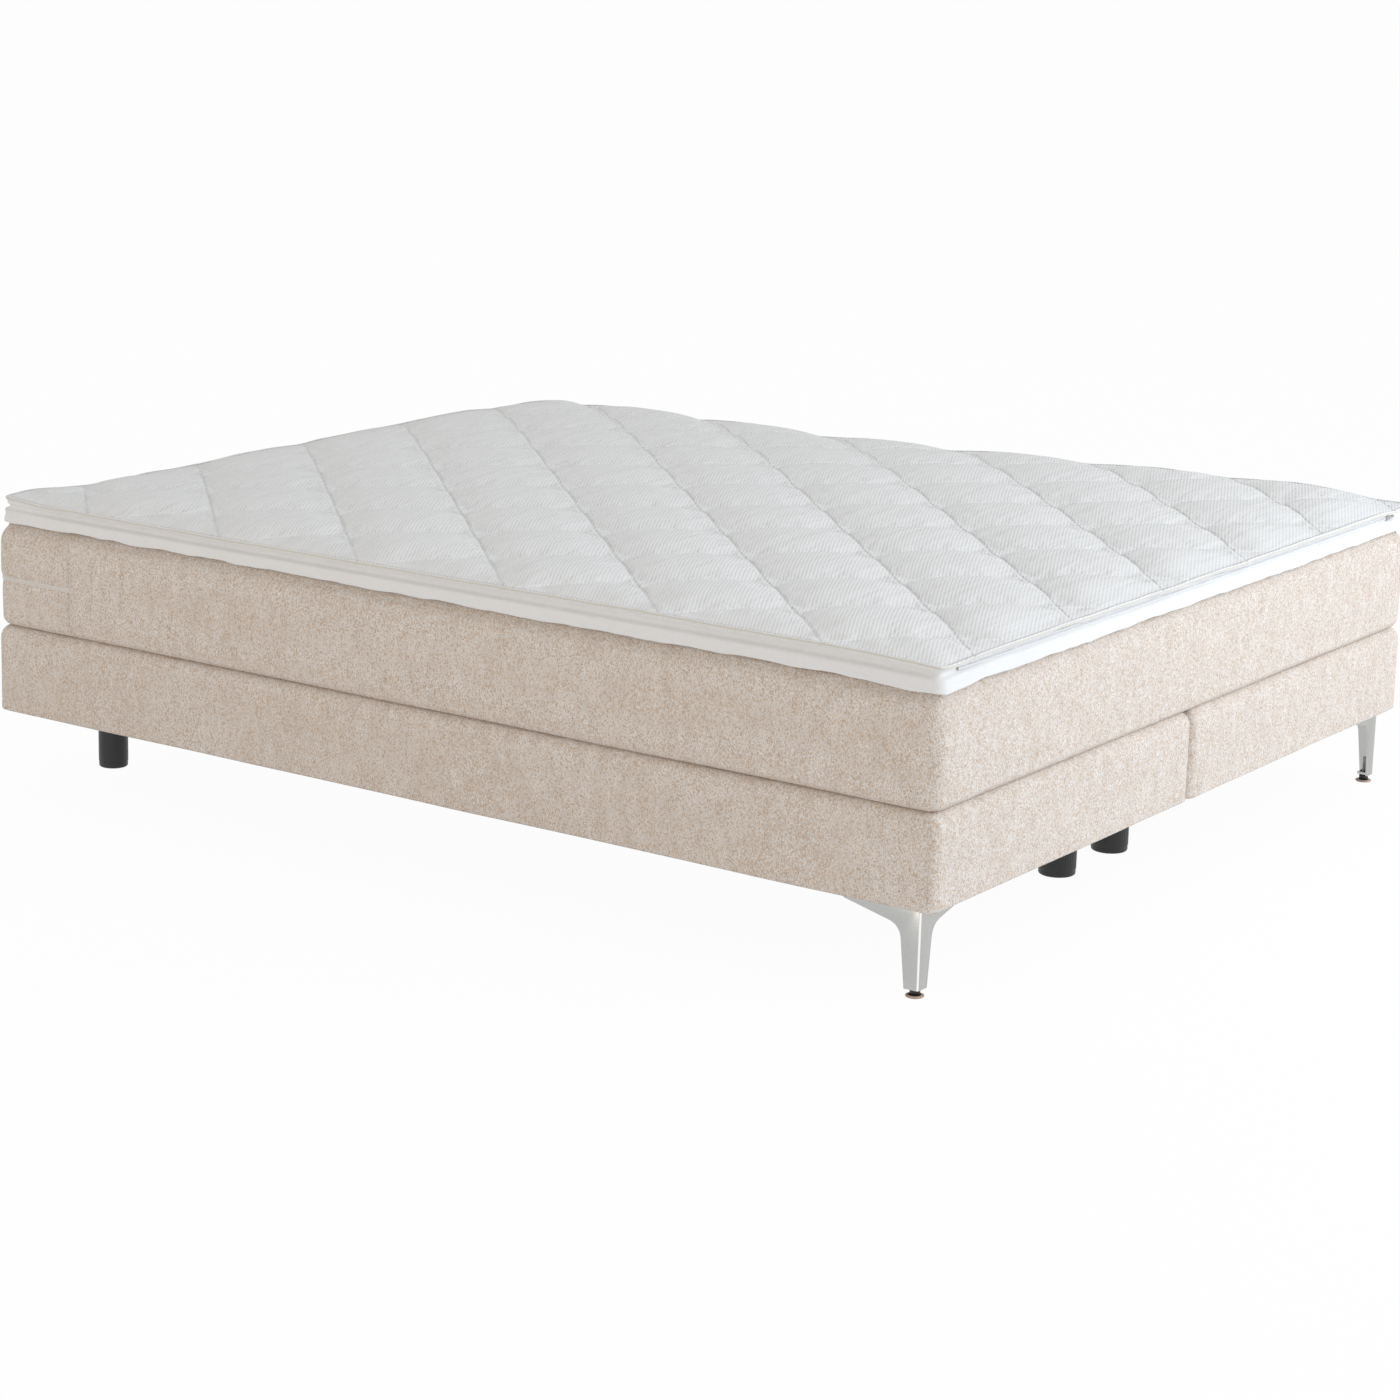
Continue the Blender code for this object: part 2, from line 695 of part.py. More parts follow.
def build_mattress(materials):
    """The mattress: a zipped cover round two foam layers, an edge foam and a pocket spring core."""
    lift = add_empty("mattress_lift", (0, 0, mattress_bottom))
    rounded = rounded_levels(mattress_height, mattress_bottom_radius, mattress_top_radius)
    levels = inset_levels(rounded, mattress_bulge)
    band = [(0, mattress_zip_level - mattress_band / 2), (0, mattress_zip_level + mattress_band / 2)]
    levels = levels[:edge_segments + 1] + band + levels[edge_segments + 1:]
    skin = stacked_mesh(bed_width, bed_length, mattress_corner_radius, levels)
    cover = add_part("mattress_cover", skin, materials["fabric"], (0, 0, mattress_bottom), lift)
    solidify(cover, mattress_fabric)
    slot_size = (bed_width + overrun, mattress_zip_reach + overrun, zip_slot_height)
    slot_place = (0, head_end + (overrun - mattress_zip_reach) / 2, mattress_zip_height)
    boolean(cover, add_cutter("mattress_zip_slot", block_mesh(slot_size), slot_place), "DIFFERENCE")

    inner_width = bed_width - 2 * core_inset
    inner_length = bed_length - 2 * core_inset
    inner_radius = mattress_corner_radius - core_inset
    skin_inset = mattress_fabric + touch_gap
    low = mattress_bottom + skin_inset
    low_levels = rounded_levels(mattress_bottom_foam_height, mattress_bottom_radius - skin_inset, 0)
    low_levels = inset_levels(low_levels, core_inset)
    low_foam = stacked_mesh(bed_width, bed_length, mattress_corner_radius, low_levels)
    add_part("mattress_bottom_foam", low_foam, materials["foam"], (0, 0, low), lift)

    high = mattress_top - skin_inset - mattress_top_foam_height
    high_levels = rounded_levels(mattress_top_foam_height, 0, mattress_top_radius - skin_inset)
    high_levels = inset_levels(high_levels, core_inset)
    high_foam = stacked_mesh(bed_width, bed_length, mattress_corner_radius, high_levels)
    add_part("mattress_top_foam", high_foam, materials["foam"], (0, 0, high), lift)

    core_bottom = low + mattress_bottom_foam_height + touch_gap
    core_top = high - touch_gap
    core_width = inner_width - 2 * edge_foam_width
    core_length = inner_length - 2 * edge_foam_width
    ring = [rounded_outline(inner_width, inner_length, inner_radius), rectangle(core_width, core_length)]
    add_part("mattress_edge_foam", plate_mesh(ring, core_bottom, core_top), materials["foam"],
             (0, 0, 0), lift)
    springs = [pocket_outline(core_width - 2 * touch_gap, core_length - 2 * touch_gap)]
    add_part("mattress_spring_core", plate_mesh(springs, core_bottom, core_top), materials["pockets"],
             (0, 0, 0), lift)
    build_mattress_zip(materials, lift)


def slider_mesh():
    """A zip slider with its pull lying along the zip, as a plate that faces the tape."""
    half = slider_height / 2
    waist = half / 2
    body_end = slider_length / 3
    outline = [(0, -half), (body_end, -half), (body_end + waist, -waist), (slider_length, -waist),
               (slider_length, waist), (body_end + waist, waist), (body_end, half), (0, half)]
    hole_place = slider_length - half
    hole = circle(slider_hole_radius, (hole_place, 0))
    return stand_up(plate_mesh([outline, hole], -slider_thickness / 2, slider_thickness / 2), "Y")


def build_mattress_zip(materials, lift):
    """The zip tape behind the slot, round the head end, and its slider."""
    tape_inset = mattress_fabric + touch_gap
    width = bed_width - 2 * tape_inset
    length = bed_length - 2 * tape_inset
    radius = mattress_corner_radius - tape_inset
    half = zip_tape_height / 2
    band = stacked_mesh(width, length, radius, [(0, -half), (0, half)], open_ends=2)
    bm = bmesh.new()
    bm.from_mesh(band)
    bpy.data.meshes.remove(band)
    tape_start = head_end - mattress_zip_reach - zip_tape_lap
    geometry = bm.verts[:] + bm.edges[:] + bm.faces[:]
    bmesh.ops.bisect_plane(bm, geom=geometry, plane_co=(0, tape_start, 0), plane_no=(0, 1, 0), clear_inner=True)
    band = bpy.data.meshes.new("tape")
    bm.to_mesh(band)
    bm.free()
    tape = add_part("mattress_zip_tape", band, materials["tape"], (0, 0, mattress_zip_height), lift)
    solidify(tape, zip_tape_thickness)
    across = bed_width / 2 - mattress_corner_radius - slider_corner_margin
    along = head_end - mattress_fabric + slider_thickness / 2
    place = (across, along, mattress_zip_height)
    add_part("mattress_zip_slider", slider_mesh(), materials["chrome"], place, lift)


def quilt_distances(x, y):
    """How far a place is from the nearest channel of each family, square to the channel."""
    rising = (y - x - quilt_start_rising) / quilt_pitch_rising
    falling = (y + x - quilt_start_falling) / quilt_pitch_falling
    to_square = math.sqrt(0.5)
    return (abs(rising - round(rising)) * quilt_pitch_rising * to_square,
            abs(falling - round(falling)) * quilt_pitch_falling * to_square)


def ease(share):
    """A smooth rise from 0 to 1 that is steep at its start, like a soft edge."""
    share = min(max(share, 0.0), 1.0)
    return math.sin(quarter_turn * share)


def quilt_drop(x, y):
    """How far the quilted face lies under its highest level at a place."""
    edge = min(bed_width / 2 - abs(x), bed_length / 2 - abs(y)) - topper_seam_inset
    edge_share = ease(edge / quilt_edge_band)
    nearest = min(quilt_distances(x, y))
    groove = quilt_depth * (1 - min(nearest / quilt_shoulder, 1.0))
    plateau_rise = quilt_puff if nearest > 2 * quilt_shoulder else 0
    return topper_seam_drop * (1 - edge_share) + (groove + quilt_puff - plateau_rise) * edge_share


def quilt_cuts():
    """Planes that cut the panel along its channels, their shoulders and the line of its edge."""
    cuts = []
    families = ((Vector((-1, 1, 0)), quilt_start_rising, quilt_pitch_rising),
                (Vector((1, 1, 0)), quilt_start_falling, quilt_pitch_falling))
    reach = (bed_width + bed_length) / 2
    for normal, start, pitch in families:
        side_step = quilt_shoulder * math.sqrt(2)
        first = math.ceil((-reach - start) / pitch)
        last = math.floor((reach - start) / pitch)
        for index in range(first, last + 1):
            for step in (-side_step, 0, side_step):
                cuts.append((Vector((0, start + index * pitch + step, 0)), normal))
    for sign in (-1, 1):
        cuts.append((Vector((sign * (bed_width / 2 - quilt_edge_line), 0, 0)), Vector((1, 0, 0))))
        cuts.append((Vector((0, sign * (bed_length / 2 - quilt_edge_line), 0)), Vector((0, 1, 0))))
    return cuts


def build_quilted_top(materials, lift):
    """The quilted panel: a sheet cut along its stitch lines, raised, and sunk along the channels."""
    width = bed_width - 2 * topper_seam_inset
    length = bed_length - 2 * topper_seam_inset
    bm = bmesh.new()
    bm.faces.new([bm.verts.new((x, y, 0)) for x, y in rounded_outline(width, length, topper_corner_radius)])
    for place, normal in quilt_cuts():
        geometry = bm.verts[:] + bm.edges[:] + bm.faces[:]
        bmesh.ops.bisect_plane(bm, geom=geometry, plane_co=place, plane_no=normal, dist=weld_distance)
    underside = bm.faces[:]
    raised = bmesh.ops.extrude_face_region(bm, geom=underside, use_keep_orig=True)["geom"]
    top_faces = [item for item in raised if isinstance(item, bmesh.types.BMFace)]
    bmesh.ops.dissolve_faces(bm, faces=underside, use_verts=False)
    plateau = [face for face in top_faces
               if min(quilt_distances(*face.calc_center_median().xy)) > quilt_shoulder and len(face.verts) == 4]
    centres = bmesh.ops.poke(bm, faces=plateau, center_mode="MEAN")["verts"]
    top_verts = {vert for face in top_faces if face.is_valid for vert in face.verts} | set(centres)
    border_level = border_top + touch_gap
    for vert in bm.verts:
        if vert in top_verts:
            vert.co.z = topper_top - quilt_drop(vert.co.x, vert.co.y)
        else:
            vert.co.x *= (bed_width / 2 - topper_border_inset) / (width / 2)
            vert.co.y *= (bed_length / 2 - topper_border_inset) / (length / 2)
            vert.co.z = border_level
    bmesh.ops.triangulate(bm, faces=bm.faces[:])
    add_part("topper_quilted_top", mesh_from(bm), materials["topper"], (0, 0, 0), lift)


def build_topper(materials):
    """The topper: a quilted panel, a drawn-in border with its zip, a base panel and a foam core."""
    lift = add_empty("topper_lift", (0, 0, topper_bottom))
    levels = rounded_levels(topper_base_thickness, topper_base_edge, topper_base_edge)
    panel = stacked_mesh(bed_width, bed_length, topper_corner_radius, levels)
    add_part("topper_base_panel", panel, materials["topper"], (0, 0, topper_bottom), lift)

    deep = topper_border_inset + topper_border_draw
    zip_rise = topper_border_height - topper_zip_drop
    levels = [(0, 0), (0, topper_border_lip), (topper_border_draw, zip_rise - topper_border_band / 2),
              (topper_border_draw, zip_rise + topper_border_band / 2),
              (0, topper_border_height - topper_border_lip), (0, topper_border_height)]
    border_width = bed_width - 2 * topper_border_inset
    border_length = bed_length - 2 * topper_border_inset
    band = stacked_mesh(border_width, border_length, topper_corner_radius, levels, open_ends=2)
    border = add_part("topper_border", band, materials["topper"], (0, 0, border_bottom), lift)
    solidify(border, topper_border_fabric)

    topper_core_inset = deep + topper_border_fabric + touch_gap
    core_width = bed_width - 2 * topper_core_inset
    core_length = bed_length - 2 * topper_core_inset
    core = stacked_mesh(core_width, core_length, topper_corner_radius, [(0, 0), (0, topper_border_height)])
    add_part("topper_core", core, materials["foam"], (0, 0, border_bottom), lift)

    zip_length = bed_width - 2 * (topper_corner_radius + slider_corner_margin)
    tape_size = (zip_length, zip_tape_thickness, topper_zip_height)
    tape_along = foot_end + deep - touch_gap - zip_tape_thickness / 2
    zip_level = border_bottom + zip_rise
    tape = block_mesh(tape_size)
    add_part("topper_zip_tape", tape, materials["topper"], (0, tape_along, zip_level), lift)
    slider_along = tape_along - (zip_tape_thickness + slider_thickness) / 2 - touch_gap
    slider_across = zip_length / 2 - slider_length
    place = (slider_across, slider_along, zip_level)
    add_part("topper_zip_slider", slider_mesh(), materials["chrome"], place, lift)
    build_quilted_top(materials, lift)


def build_bed():
    clear_scene()
    new_collection(parts_collection_name)
    new_collection(cutters_collection_name)
    materials = {
        "fabric": new_material("boucle_fabric", (0.70, 0.61, 0.52), 0.9),
        "topper": new_material("quilted_fabric", (0.88, 0.88, 0.87), 0.8),
        "chrome": new_material("satin_chrome", (0.72, 0.72, 0.73), 0.22, 1.0),
        "black": new_material("black_plastic", (0.012, 0.012, 0.013), 0.4),
        "pad": new_material("foot_pad_plastic", (0.45, 0.31, 0.24), 0.5),
        "steel": new_material("zinc_steel", (0.55, 0.56, 0.58), 0.35, 1.0),
        "wood": new_material("frame_wood", (0.62, 0.46, 0.29), 0.7),
        "foam": new_material("foam", (0.80, 0.78, 0.66), 0.9),
        "pockets": new_material("spring_pockets", (0.85, 0.85, 0.86), 0.9),
        "sheet": new_material("dust_cover_sheet", (0.03, 0.03, 0.03), 0.9),
        "tape": new_material("zip_tape", (0.74, 0.68, 0.61), 0.6),
    }
    for side, sign in (("left", -1), ("right", 1)):
        build_cover(side, sign, materials["fabric"])
        build_frame(side, sign, materials["wood"])
        build_base_filling(side, sign, materials["pockets"], materials["foam"], materials["sheet"])
        build_black_legs(side, sign, materials["black"])
        build_corner_leg(side, sign, materials["chrome"])
        build_wing_screws(side, sign, materials["steel"])
        build_levelling_foot(side, sign, materials["steel"], materials["pad"])
    build_couplings(materials["steel"])
    build_mattress(materials)
    build_topper(materials)


build_bed()
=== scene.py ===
"""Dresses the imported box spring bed: covers, quilted topper, fillings, legs and a small studio.

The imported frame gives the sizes, in metres. X runs across the bed, Y runs towards the head end
and Z is up. Left and right are as seen from the foot end.
"""

import math

import bmesh
import bpy
from bpy.props import FloatProperty, FloatVectorProperty, PointerProperty
from mathutils import Matrix, Vector, noise


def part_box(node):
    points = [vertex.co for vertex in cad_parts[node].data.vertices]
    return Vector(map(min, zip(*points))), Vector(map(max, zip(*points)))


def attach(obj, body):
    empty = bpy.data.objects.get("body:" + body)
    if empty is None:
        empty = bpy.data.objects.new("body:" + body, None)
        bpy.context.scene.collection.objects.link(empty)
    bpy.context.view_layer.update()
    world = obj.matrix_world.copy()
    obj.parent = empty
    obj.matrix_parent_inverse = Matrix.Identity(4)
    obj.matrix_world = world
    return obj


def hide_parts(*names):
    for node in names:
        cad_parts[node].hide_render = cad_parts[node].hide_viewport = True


bl_info = {
    "name": "Box Spring Bed",
    "version": (1, 0, 0),
    "blender": (4, 5, 0),
    "location": "View3D > Sidebar > Bed",
    "description": "Dresses a packed box spring bed with fabric, filling, legs and a studio",
    "category": "Object",
}

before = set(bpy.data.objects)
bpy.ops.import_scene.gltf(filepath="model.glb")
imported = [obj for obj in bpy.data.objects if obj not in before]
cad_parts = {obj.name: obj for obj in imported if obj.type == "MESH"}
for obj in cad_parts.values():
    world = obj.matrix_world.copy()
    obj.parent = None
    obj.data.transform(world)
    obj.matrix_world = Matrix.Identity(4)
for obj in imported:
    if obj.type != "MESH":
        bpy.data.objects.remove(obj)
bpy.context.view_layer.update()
topper_low, topper_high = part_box("topper_base_panel")

sides = ("left", "right")
weld = 0.00001
roll_steps = 5
tight_corner = 0.35
quarter = math.pi / 2
diagonal = math.sqrt(0.5)

# Upholstery
base_corner, base_top_roll, base_bottom_roll = 0.022, 0.028, 0.006
hem_width = 0.025
base_cloth = 0.003
cover_cell = 0.045
mattress_corner, mattress_top_roll, mattress_bottom_roll = 0.030, 0.040, 0.014
mattress_bulge = 0.003
mattress_cloth = 0.0035
seam_along = 0.861
zip_opening = 0.0076
zip_cloth_step = 0.0024
zip_row_apart, zip_tooth_pitch, zip_tooth_length, zip_tooth_height = 0.0007, 0.0016, 0.0013, 0.0015

# Topper
topper_corner = 0.016
topper_bead = 0.0045
panel_cell = 0.0120
rising_pitch, rising_start = 0.3255, 0.080
falling_pitch, falling_start = 0.3120, -0.150
stitch_end = 0.018
row_gather = 0.60
edge_curve = 0.110
far_pull, head_pull = 0.018, 0.010
simulated_frames = 20


class BedFabricSettings(bpy.types.PropertyGroup):
    cover_colour: FloatVectorProperty(
        name="Cover colour", description="Main yarn of the cover fabric", subtype="COLOR",
        size=3, min=0.0, max=1.0, default=(0.815, 0.743, 0.680))
    loop_width: FloatProperty(
        name="Loop width", description="Width of one yarn loop", unit="LENGTH", default=0.0019)
    loop_height: FloatProperty(
        name="Loop height", description="Height of one yarn loop", unit="LENGTH", default=0.0029)
    unevenness: FloatProperty(
        name="Unevenness", description="How far the covers lie off a true plane",
        unit="LENGTH", default=0.0012)
    seam_depth: FloatProperty(
        name="Seam depth", description="How deep an upright seam lies", unit="LENGTH", default=0.0056)


class BedTopperSettings(bpy.types.PropertyGroup):
    topper_colour: FloatVectorProperty(
        name="Topper colour", description="Colour of the quilted fabric", subtype="COLOR",
        size=3, min=0.0, max=1.0, default=(0.85, 0.845, 0.83))
    rib_pitch: FloatProperty(
        name="Rib pitch", description="From one knitted rib to the next", unit="LENGTH", default=0.0063)
    puff: FloatProperty(
        name="Puff", description="Height of the padding between the stitch lines",
        unit="LENGTH", default=0.0070)
    stitch_drop: FloatProperty(
        name="Stitch drop", description="How far the stitch lines lie under the highest level",
        unit="LENGTH", default=0.0088)
    crossing_depth: FloatProperty(
        name="Crossing depth", description="How much deeper the stitch lines lie where they cross",
        unit="LENGTH", default=0.0042)
    edge_drop: FloatProperty(
        name="Edge drop", description="How far the panel falls towards its seam",
        unit="LENGTH", default=0.0030)
    wrinkle: FloatProperty(
        name="Wrinkle", description="Height of the loose wrinkles", unit="LENGTH", default=0.0014)
    flange_wave: FloatProperty(
        name="Flange wave", description="How far the lower flange waves", unit="LENGTH", default=0.0034)


class BedLegSettings(bpy.types.PropertyGroup):
    metal_colour: FloatVectorProperty(
        name="Metal colour", description="Satin metal of the corner legs", subtype="COLOR",
        size=3, min=0.0, max=1.0, default=(0.495, 0.50, 0.485))
    black_colour: FloatVectorProperty(
        name="Black colour", description="Plastic of the round legs", subtype="COLOR",
        size=3, min=0.0, max=1.0, default=(0.010, 0.010, 0.011))
    pad_colour: FloatVectorProperty(
        name="Pad colour", description="Plastic under the levelling feet", subtype="COLOR",
        size=3, min=0.0, max=1.0, default=(0.46, 0.33, 0.26))
    edge_radius: FloatProperty(
        name="Edge radius", description="Rounding of the cast edges", unit="LENGTH", default=0.0007)


class BedStageSettings(bpy.types.PropertyGroup):
    sky: FloatProperty(
        name="Sky", description="Strength of the light from all round", default=0.635)
    lamp_power: FloatProperty(
        name="Lamp power", description="Power of the large soft lamp", unit="POWER", default=101.5)
    lamp_colour: FloatVectorProperty(
        name="Lamp colour", description="Tint of the large soft lamp", subtype="COLOR",
        size=3, min=0.0, max=1.0, default=(0.84, 0.91, 1.0))
    fill_power: FloatProperty(
        name="Fill power", description="Power of the low lamp by the long side", unit="POWER", default=36.0)
    fill_colour: FloatVectorProperty(
        name="Fill colour", description="Tint of the low lamp", subtype="COLOR",
        size=3, min=0.0, max=1.0, default=(1.0, 0.87, 0.76))
    focal_length: FloatProperty(
        name="Focal length", description="Lens of the camera in millimetres", default=94.83)
    floor_colour: FloatVectorProperty(
        name="Floor colour", description="Colour of the floor", subtype="COLOR",
        size=3, min=0.0, max=1.0, default=(0.90, 0.90, 0.90))


def clamp(value):
    return min(max(value, 0.0), 1.0)


def near(distance, reach):
    """One at no distance, and nought from the reach on."""
    return max(0.0, 1 - distance / reach)


def put(name, data):
    """Add an object to the scene."""
    item = bpy.data.objects.new(name, data)
    bpy.context.scene.collection.objects.link(item)
    return item


def mesh_from(name, bm):
    mesh = bpy.data.meshes.new(name)
    bm.to_mesh(mesh)
    return mesh


# Materials

def triple(value):
    """Three values as they are, or one number three times."""
    return value if isinstance(value, tuple) else (value,) * 3


def shade(colour, amount):
    return tuple(min(1.0, channel * share) for channel, share in zip(colour, triple(amount)))


class Shading:
    """Adds nodes to one node tree and joins them. Each bump lies over the bumps before it."""

    def __init__(self, tree):
        self.tree, self.place, self.normal = tree, None, None

    def add(self, kind, inputs=None, **options):
        """Add a shader node, set its options, and fill its inputs with values or links."""
        node = self.tree.nodes.new("ShaderNode" + kind)
        for option, value in options.items():
            setattr(node, option, value)
        for key, value in (inputs or {}).items():
            if isinstance(value, bpy.types.NodeSocket):
                self.tree.links.new(value, node.inputs[key])
            else:
                node.inputs[key].default_value = value
        return node

    def value(self, kind, inputs=None, output=0, **options):
        return self.add(kind, inputs, **options).outputs[output]

    def maths(self, operation, *values):
        return self.value("Math", dict(enumerate(values)), operation=operation)

    def feed(self, key, value):
        """Join a value to the shader."""
        self.tree.links.new(value, self.tree.nodes["Principled BSDF"].inputs[key])

    def scaled(self, scale, rotation=(0, 0, 0)):
        return self.value("Mapping", {"Vector": self.place, "Scale": triple(scale), "Rotation": rotation})

    def cloud(self, scale, detail=2.0, roughness=0.5):
        inputs = {"Vector": self.scaled(scale), "Scale": 1.0, "Detail": detail, "Roughness": roughness}
        return self.value("TexNoise", inputs, "Fac")

    def cells(self, scale, randomness=1.0):
        inputs = {"Vector": self.scaled(scale), "Scale": 1.0, "Randomness": randomness}
        return self.add("TexVoronoi", inputs).outputs

    def waves(self, place, scale, distortion=0.0, detail=2.0, detail_scale=1.0, **options):
        inputs = {"Vector": place, "Scale": scale, "Distortion": distortion, "Detail": detail,
                  "Detail Scale": detail_scale}
        return self.value("TexWave", inputs, "Fac", **options)

    def ramp(self, factor, *stops):
        """A colour ramp through (position, colour) stops."""
        node = self.add("ValToRGB", {"Fac": factor})
        elements = node.color_ramp.elements
        elements[0].position, elements[1].position = stops[0][0], stops[-1][0]
        for position, _ in stops[1:-1]:
            elements.new(position)
        for element, (_, colour) in zip(elements, stops):
            element.color = (*triple(colour), 1.0)
        return node.outputs["Color"]

    def mix(self, mode, factor, first, second):
        return self.value("MixRGB", {"Fac": factor, "Color1": first, "Color2": second}, blend_type=mode)

    def tinted(self, colour, factor, *stops, amount=1.0):
        """A colour multiplied by a ramp."""
        return self.mix("MULTIPLY", amount, colour, self.ramp(factor, *stops))

    def eased(self, value, low, high, start=0.0, end=1.0):
        inputs = {"Value": value, "From Min": low, "From Max": high, "To Min": start, "To Max": end}
        return self.value("MapRange", inputs, interpolation_type="SMOOTHSTEP")

    def bump(self, height, distance, strength):
        inputs = {"Height": height, "Distance": distance, "Strength": strength}
        if self.normal is not None:
            inputs["Normal"] = self.normal
        self.normal = self.value("Bump", inputs)
        self.feed("Normal", self.normal)


def new_material(name, **values):
    """A material with its uniform values on the shader's own sockets."""
    material = bpy.data.materials.new(name)
    material.use_nodes = True
    nodes = Shading(material.node_tree)
    for key, value in values.items():
        nodes.tree.nodes["Principled BSDF"].inputs[key.replace("_", " ")].default_value = value
    nodes.place = nodes.value("TexCoord", output="Object")
    return material, nodes


def cover_material(cloth):
    """Beige boucle: irregular upright loops in three yarn tones over a soft mottle, with painted shade between
    the loops.
    """
    tone = tuple(cloth.cover_colour)
    tan, pale = shade(tone, (0.85, 0.74, 0.63)), shade(tone, (1.10, 1.16, 1.22))
    material, nodes = new_material(
        "beige_boucle", Roughness=0.9, Sheen_Weight=0.15, Sheen_Roughness=0.5, Specular_IOR_Level=0.25)
    loops = nodes.cells((1 / cloth.loop_width, 1 / cloth.loop_width, 1 / cloth.loop_height), 0.95)
    pick = nodes.value("SeparateColor", {"Color": loops["Color"]})
    colour = nodes.ramp(pick, (0.0, tan), (0.16, tan), (0.34, tone), (0.62, tone), (0.84, pale), (1.0, pale))
    mottle, streaks = nodes.cloud((38, 38, 15), 3.0, 0.6), nodes.cloud((170, 170, 30), 2.0, 0.6)
    colour = nodes.tinted(colour, mottle, (0.30, (0.91, 0.89, 0.87)), (0.68, 1.0))
    colour = nodes.tinted(colour, streaks, (0.28, (0.93, 0.915, 0.90)), (0.66, 1.0))
    # Painted shade: the colour darkens towards the edge of each loop, where the loops meet and lie lowest.
    nodes.feed("Base Color", nodes.tinted(colour, loops["Distance"], (0.35, 1.0), (0.85, (0.78, 0.75, 0.72))))
    nodes.bump(nodes.cloud((1400, 1400, 1100)), 0.0003, 0.6)
    nodes.bump(nodes.maths("SUBTRACT", 1.0, loops["Distance"]), 0.0009, 0.8)
    return material


def line_gap(nodes, total, start, pitch):
    """Distance to the nearest line of one family of stitch lines."""
    share = nodes.maths("DIVIDE", nodes.maths("SUBTRACT", total, start), pitch)
    return nodes.maths("MULTIPLY", nodes.maths("PINGPONG", share, 0.5), pitch * diagonal)


def topper_material(topper, name="topper_knit", ribs=True):
    """White knit with fine slanting ribs, and stitch lines that pucker it a little; painted shade along the
    rising lines and a painted highlight along the falling ones.
    """
    tone = tuple(topper.topper_colour)
    material, nodes = new_material(
        name, Roughness=0.85, Sheen_Weight=0.12, Sheen_Roughness=0.5, Specular_IOR_Level=0.25)
    if ribs:
        slanted = nodes.scaled(1, (0, 0, math.radians(-26)))
        scale = 2 * math.pi / (20 * topper.rib_pitch)
        rib = nodes.waves(slanted, scale, 0.35, 1.0, 3.0, wave_type="BANDS", bands_direction="Y")
        stitch = nodes.waves(slanted, scale * 1.9, 1.2, 1.0, wave_type="BANDS", bands_direction="X")
        colour = nodes.ramp(rib, (0.0, shade(tone, 0.945)), (0.5, tone), (1.0, tone))
        colour = nodes.tinted(colour, stitch, (0.0, 0.9), (0.6, 1.0), amount=0.35)
    else:
        colour = nodes.ramp(nodes.cloud(900), (0.3, shade(tone, 0.95)), (0.7, tone))
    colour = nodes.tinted(colour, nodes.cloud((9, 16, 16), 3.0, 0.6), (0.3, 0.975), (0.7, 1.0))
    nodes.bump(nodes.cloud((5, 42, 42), 3.0, 0.6), 0.0060, 0.7)
    nodes.bump(nodes.cloud(1500, 1.0), 0.0002, 0.5)
    if ribs:
        axes = nodes.add("SeparateXYZ", {"Vector": nodes.place}).outputs
        rising = line_gap(nodes, nodes.maths("SUBTRACT", axes["Y"], axes["X"]), rising_start, rising_pitch)
        falling = line_gap(nodes, nodes.maths("ADD", axes["Y"], axes["X"]), falling_start, falling_pitch)
        gap = nodes.maths("MINIMUM", rising, falling)
        # Painted shade: the colour darkens along the rising stitch lines, where the crease lies in shade.
        colour = nodes.tinted(colour, nodes.eased(rising, 0.0, 0.0035), (0.0, (0.95, 0.95, 0.945)), (1.0, 1.0))
        # Painted highlight: a little white is added along the falling stitch lines.
        colour = nodes.mix("ADD", nodes.eased(falling, 0.0008, 0.0036, 1.0, 0.0), colour, (0.05, 0.05, 0.05, 1))
        pucker = nodes.maths("MULTIPLY", nodes.cloud(75, 2.0, 0.6), nodes.eased(gap, 0.004, 0.040, 1.0, 0.0))
        nodes.bump(pucker, 0.0035, 0.8)
        nodes.bump(nodes.eased(gap, 0.0, 0.0060), 0.0016, 0.8)
        nodes.bump(stitch, 0.0002, 0.5)
        nodes.bump(rib, 0.0005, 0.8)
    nodes.feed("Base Color", colour)
    return material


def metal_material(name, colour, roughness, painted_edge_highlight=0.0):
    """Satin metal with very fine brushing, with a painted highlight where an upright edge is rounded."""
    material, nodes = new_material(name, Metallic=1.0, Roughness=roughness)
    grain = nodes.cloud((900, 900, 90), 3.0, 0.6)
    tint = nodes.ramp(grain, (0.3, shade(colour, 0.96)), (0.7, shade(colour, 1.03)))
    # Painted highlight: the base colour turns near white where the normal points half along X and half along Y,
    # on the rounded upright edges.
    if painted_edge_highlight:
        facing = nodes.add("SeparateXYZ", {"Vector": nodes.value("TexCoord", output="Normal")}).outputs
        corner = nodes.maths("ABSOLUTE", nodes.maths("MULTIPLY", facing["X"], facing["Y"]))
        tint = nodes.mix("MIX", nodes.eased(corner, 0.34, 0.46), tint, (*triple(painted_edge_highlight), 1))
    nodes.feed("Base Color", tint)
    rough = {"Value": grain, "To Min": roughness * 0.85, "To Max": roughness * 1.2}
    nodes.feed("Roughness", nodes.value("MapRange", rough))
    nodes.bump(grain, 0.00003, 0.2)
    return material


def plastic_material(name, colour, roughness):
    """Moulded plastic with a fine texture and faint scuffs."""
    material, nodes = new_material(name, Roughness=roughness)
    scuffs = nodes.cloud((60, 60, 22), 4.0, 0.7)
    nodes.feed("Base Color", nodes.ramp(scuffs, (0.35, colour), (0.8, shade(colour, 1.35))))
    nodes.bump(nodes.cloud(1800, 1.0), 0.00008, 0.5)
    return material


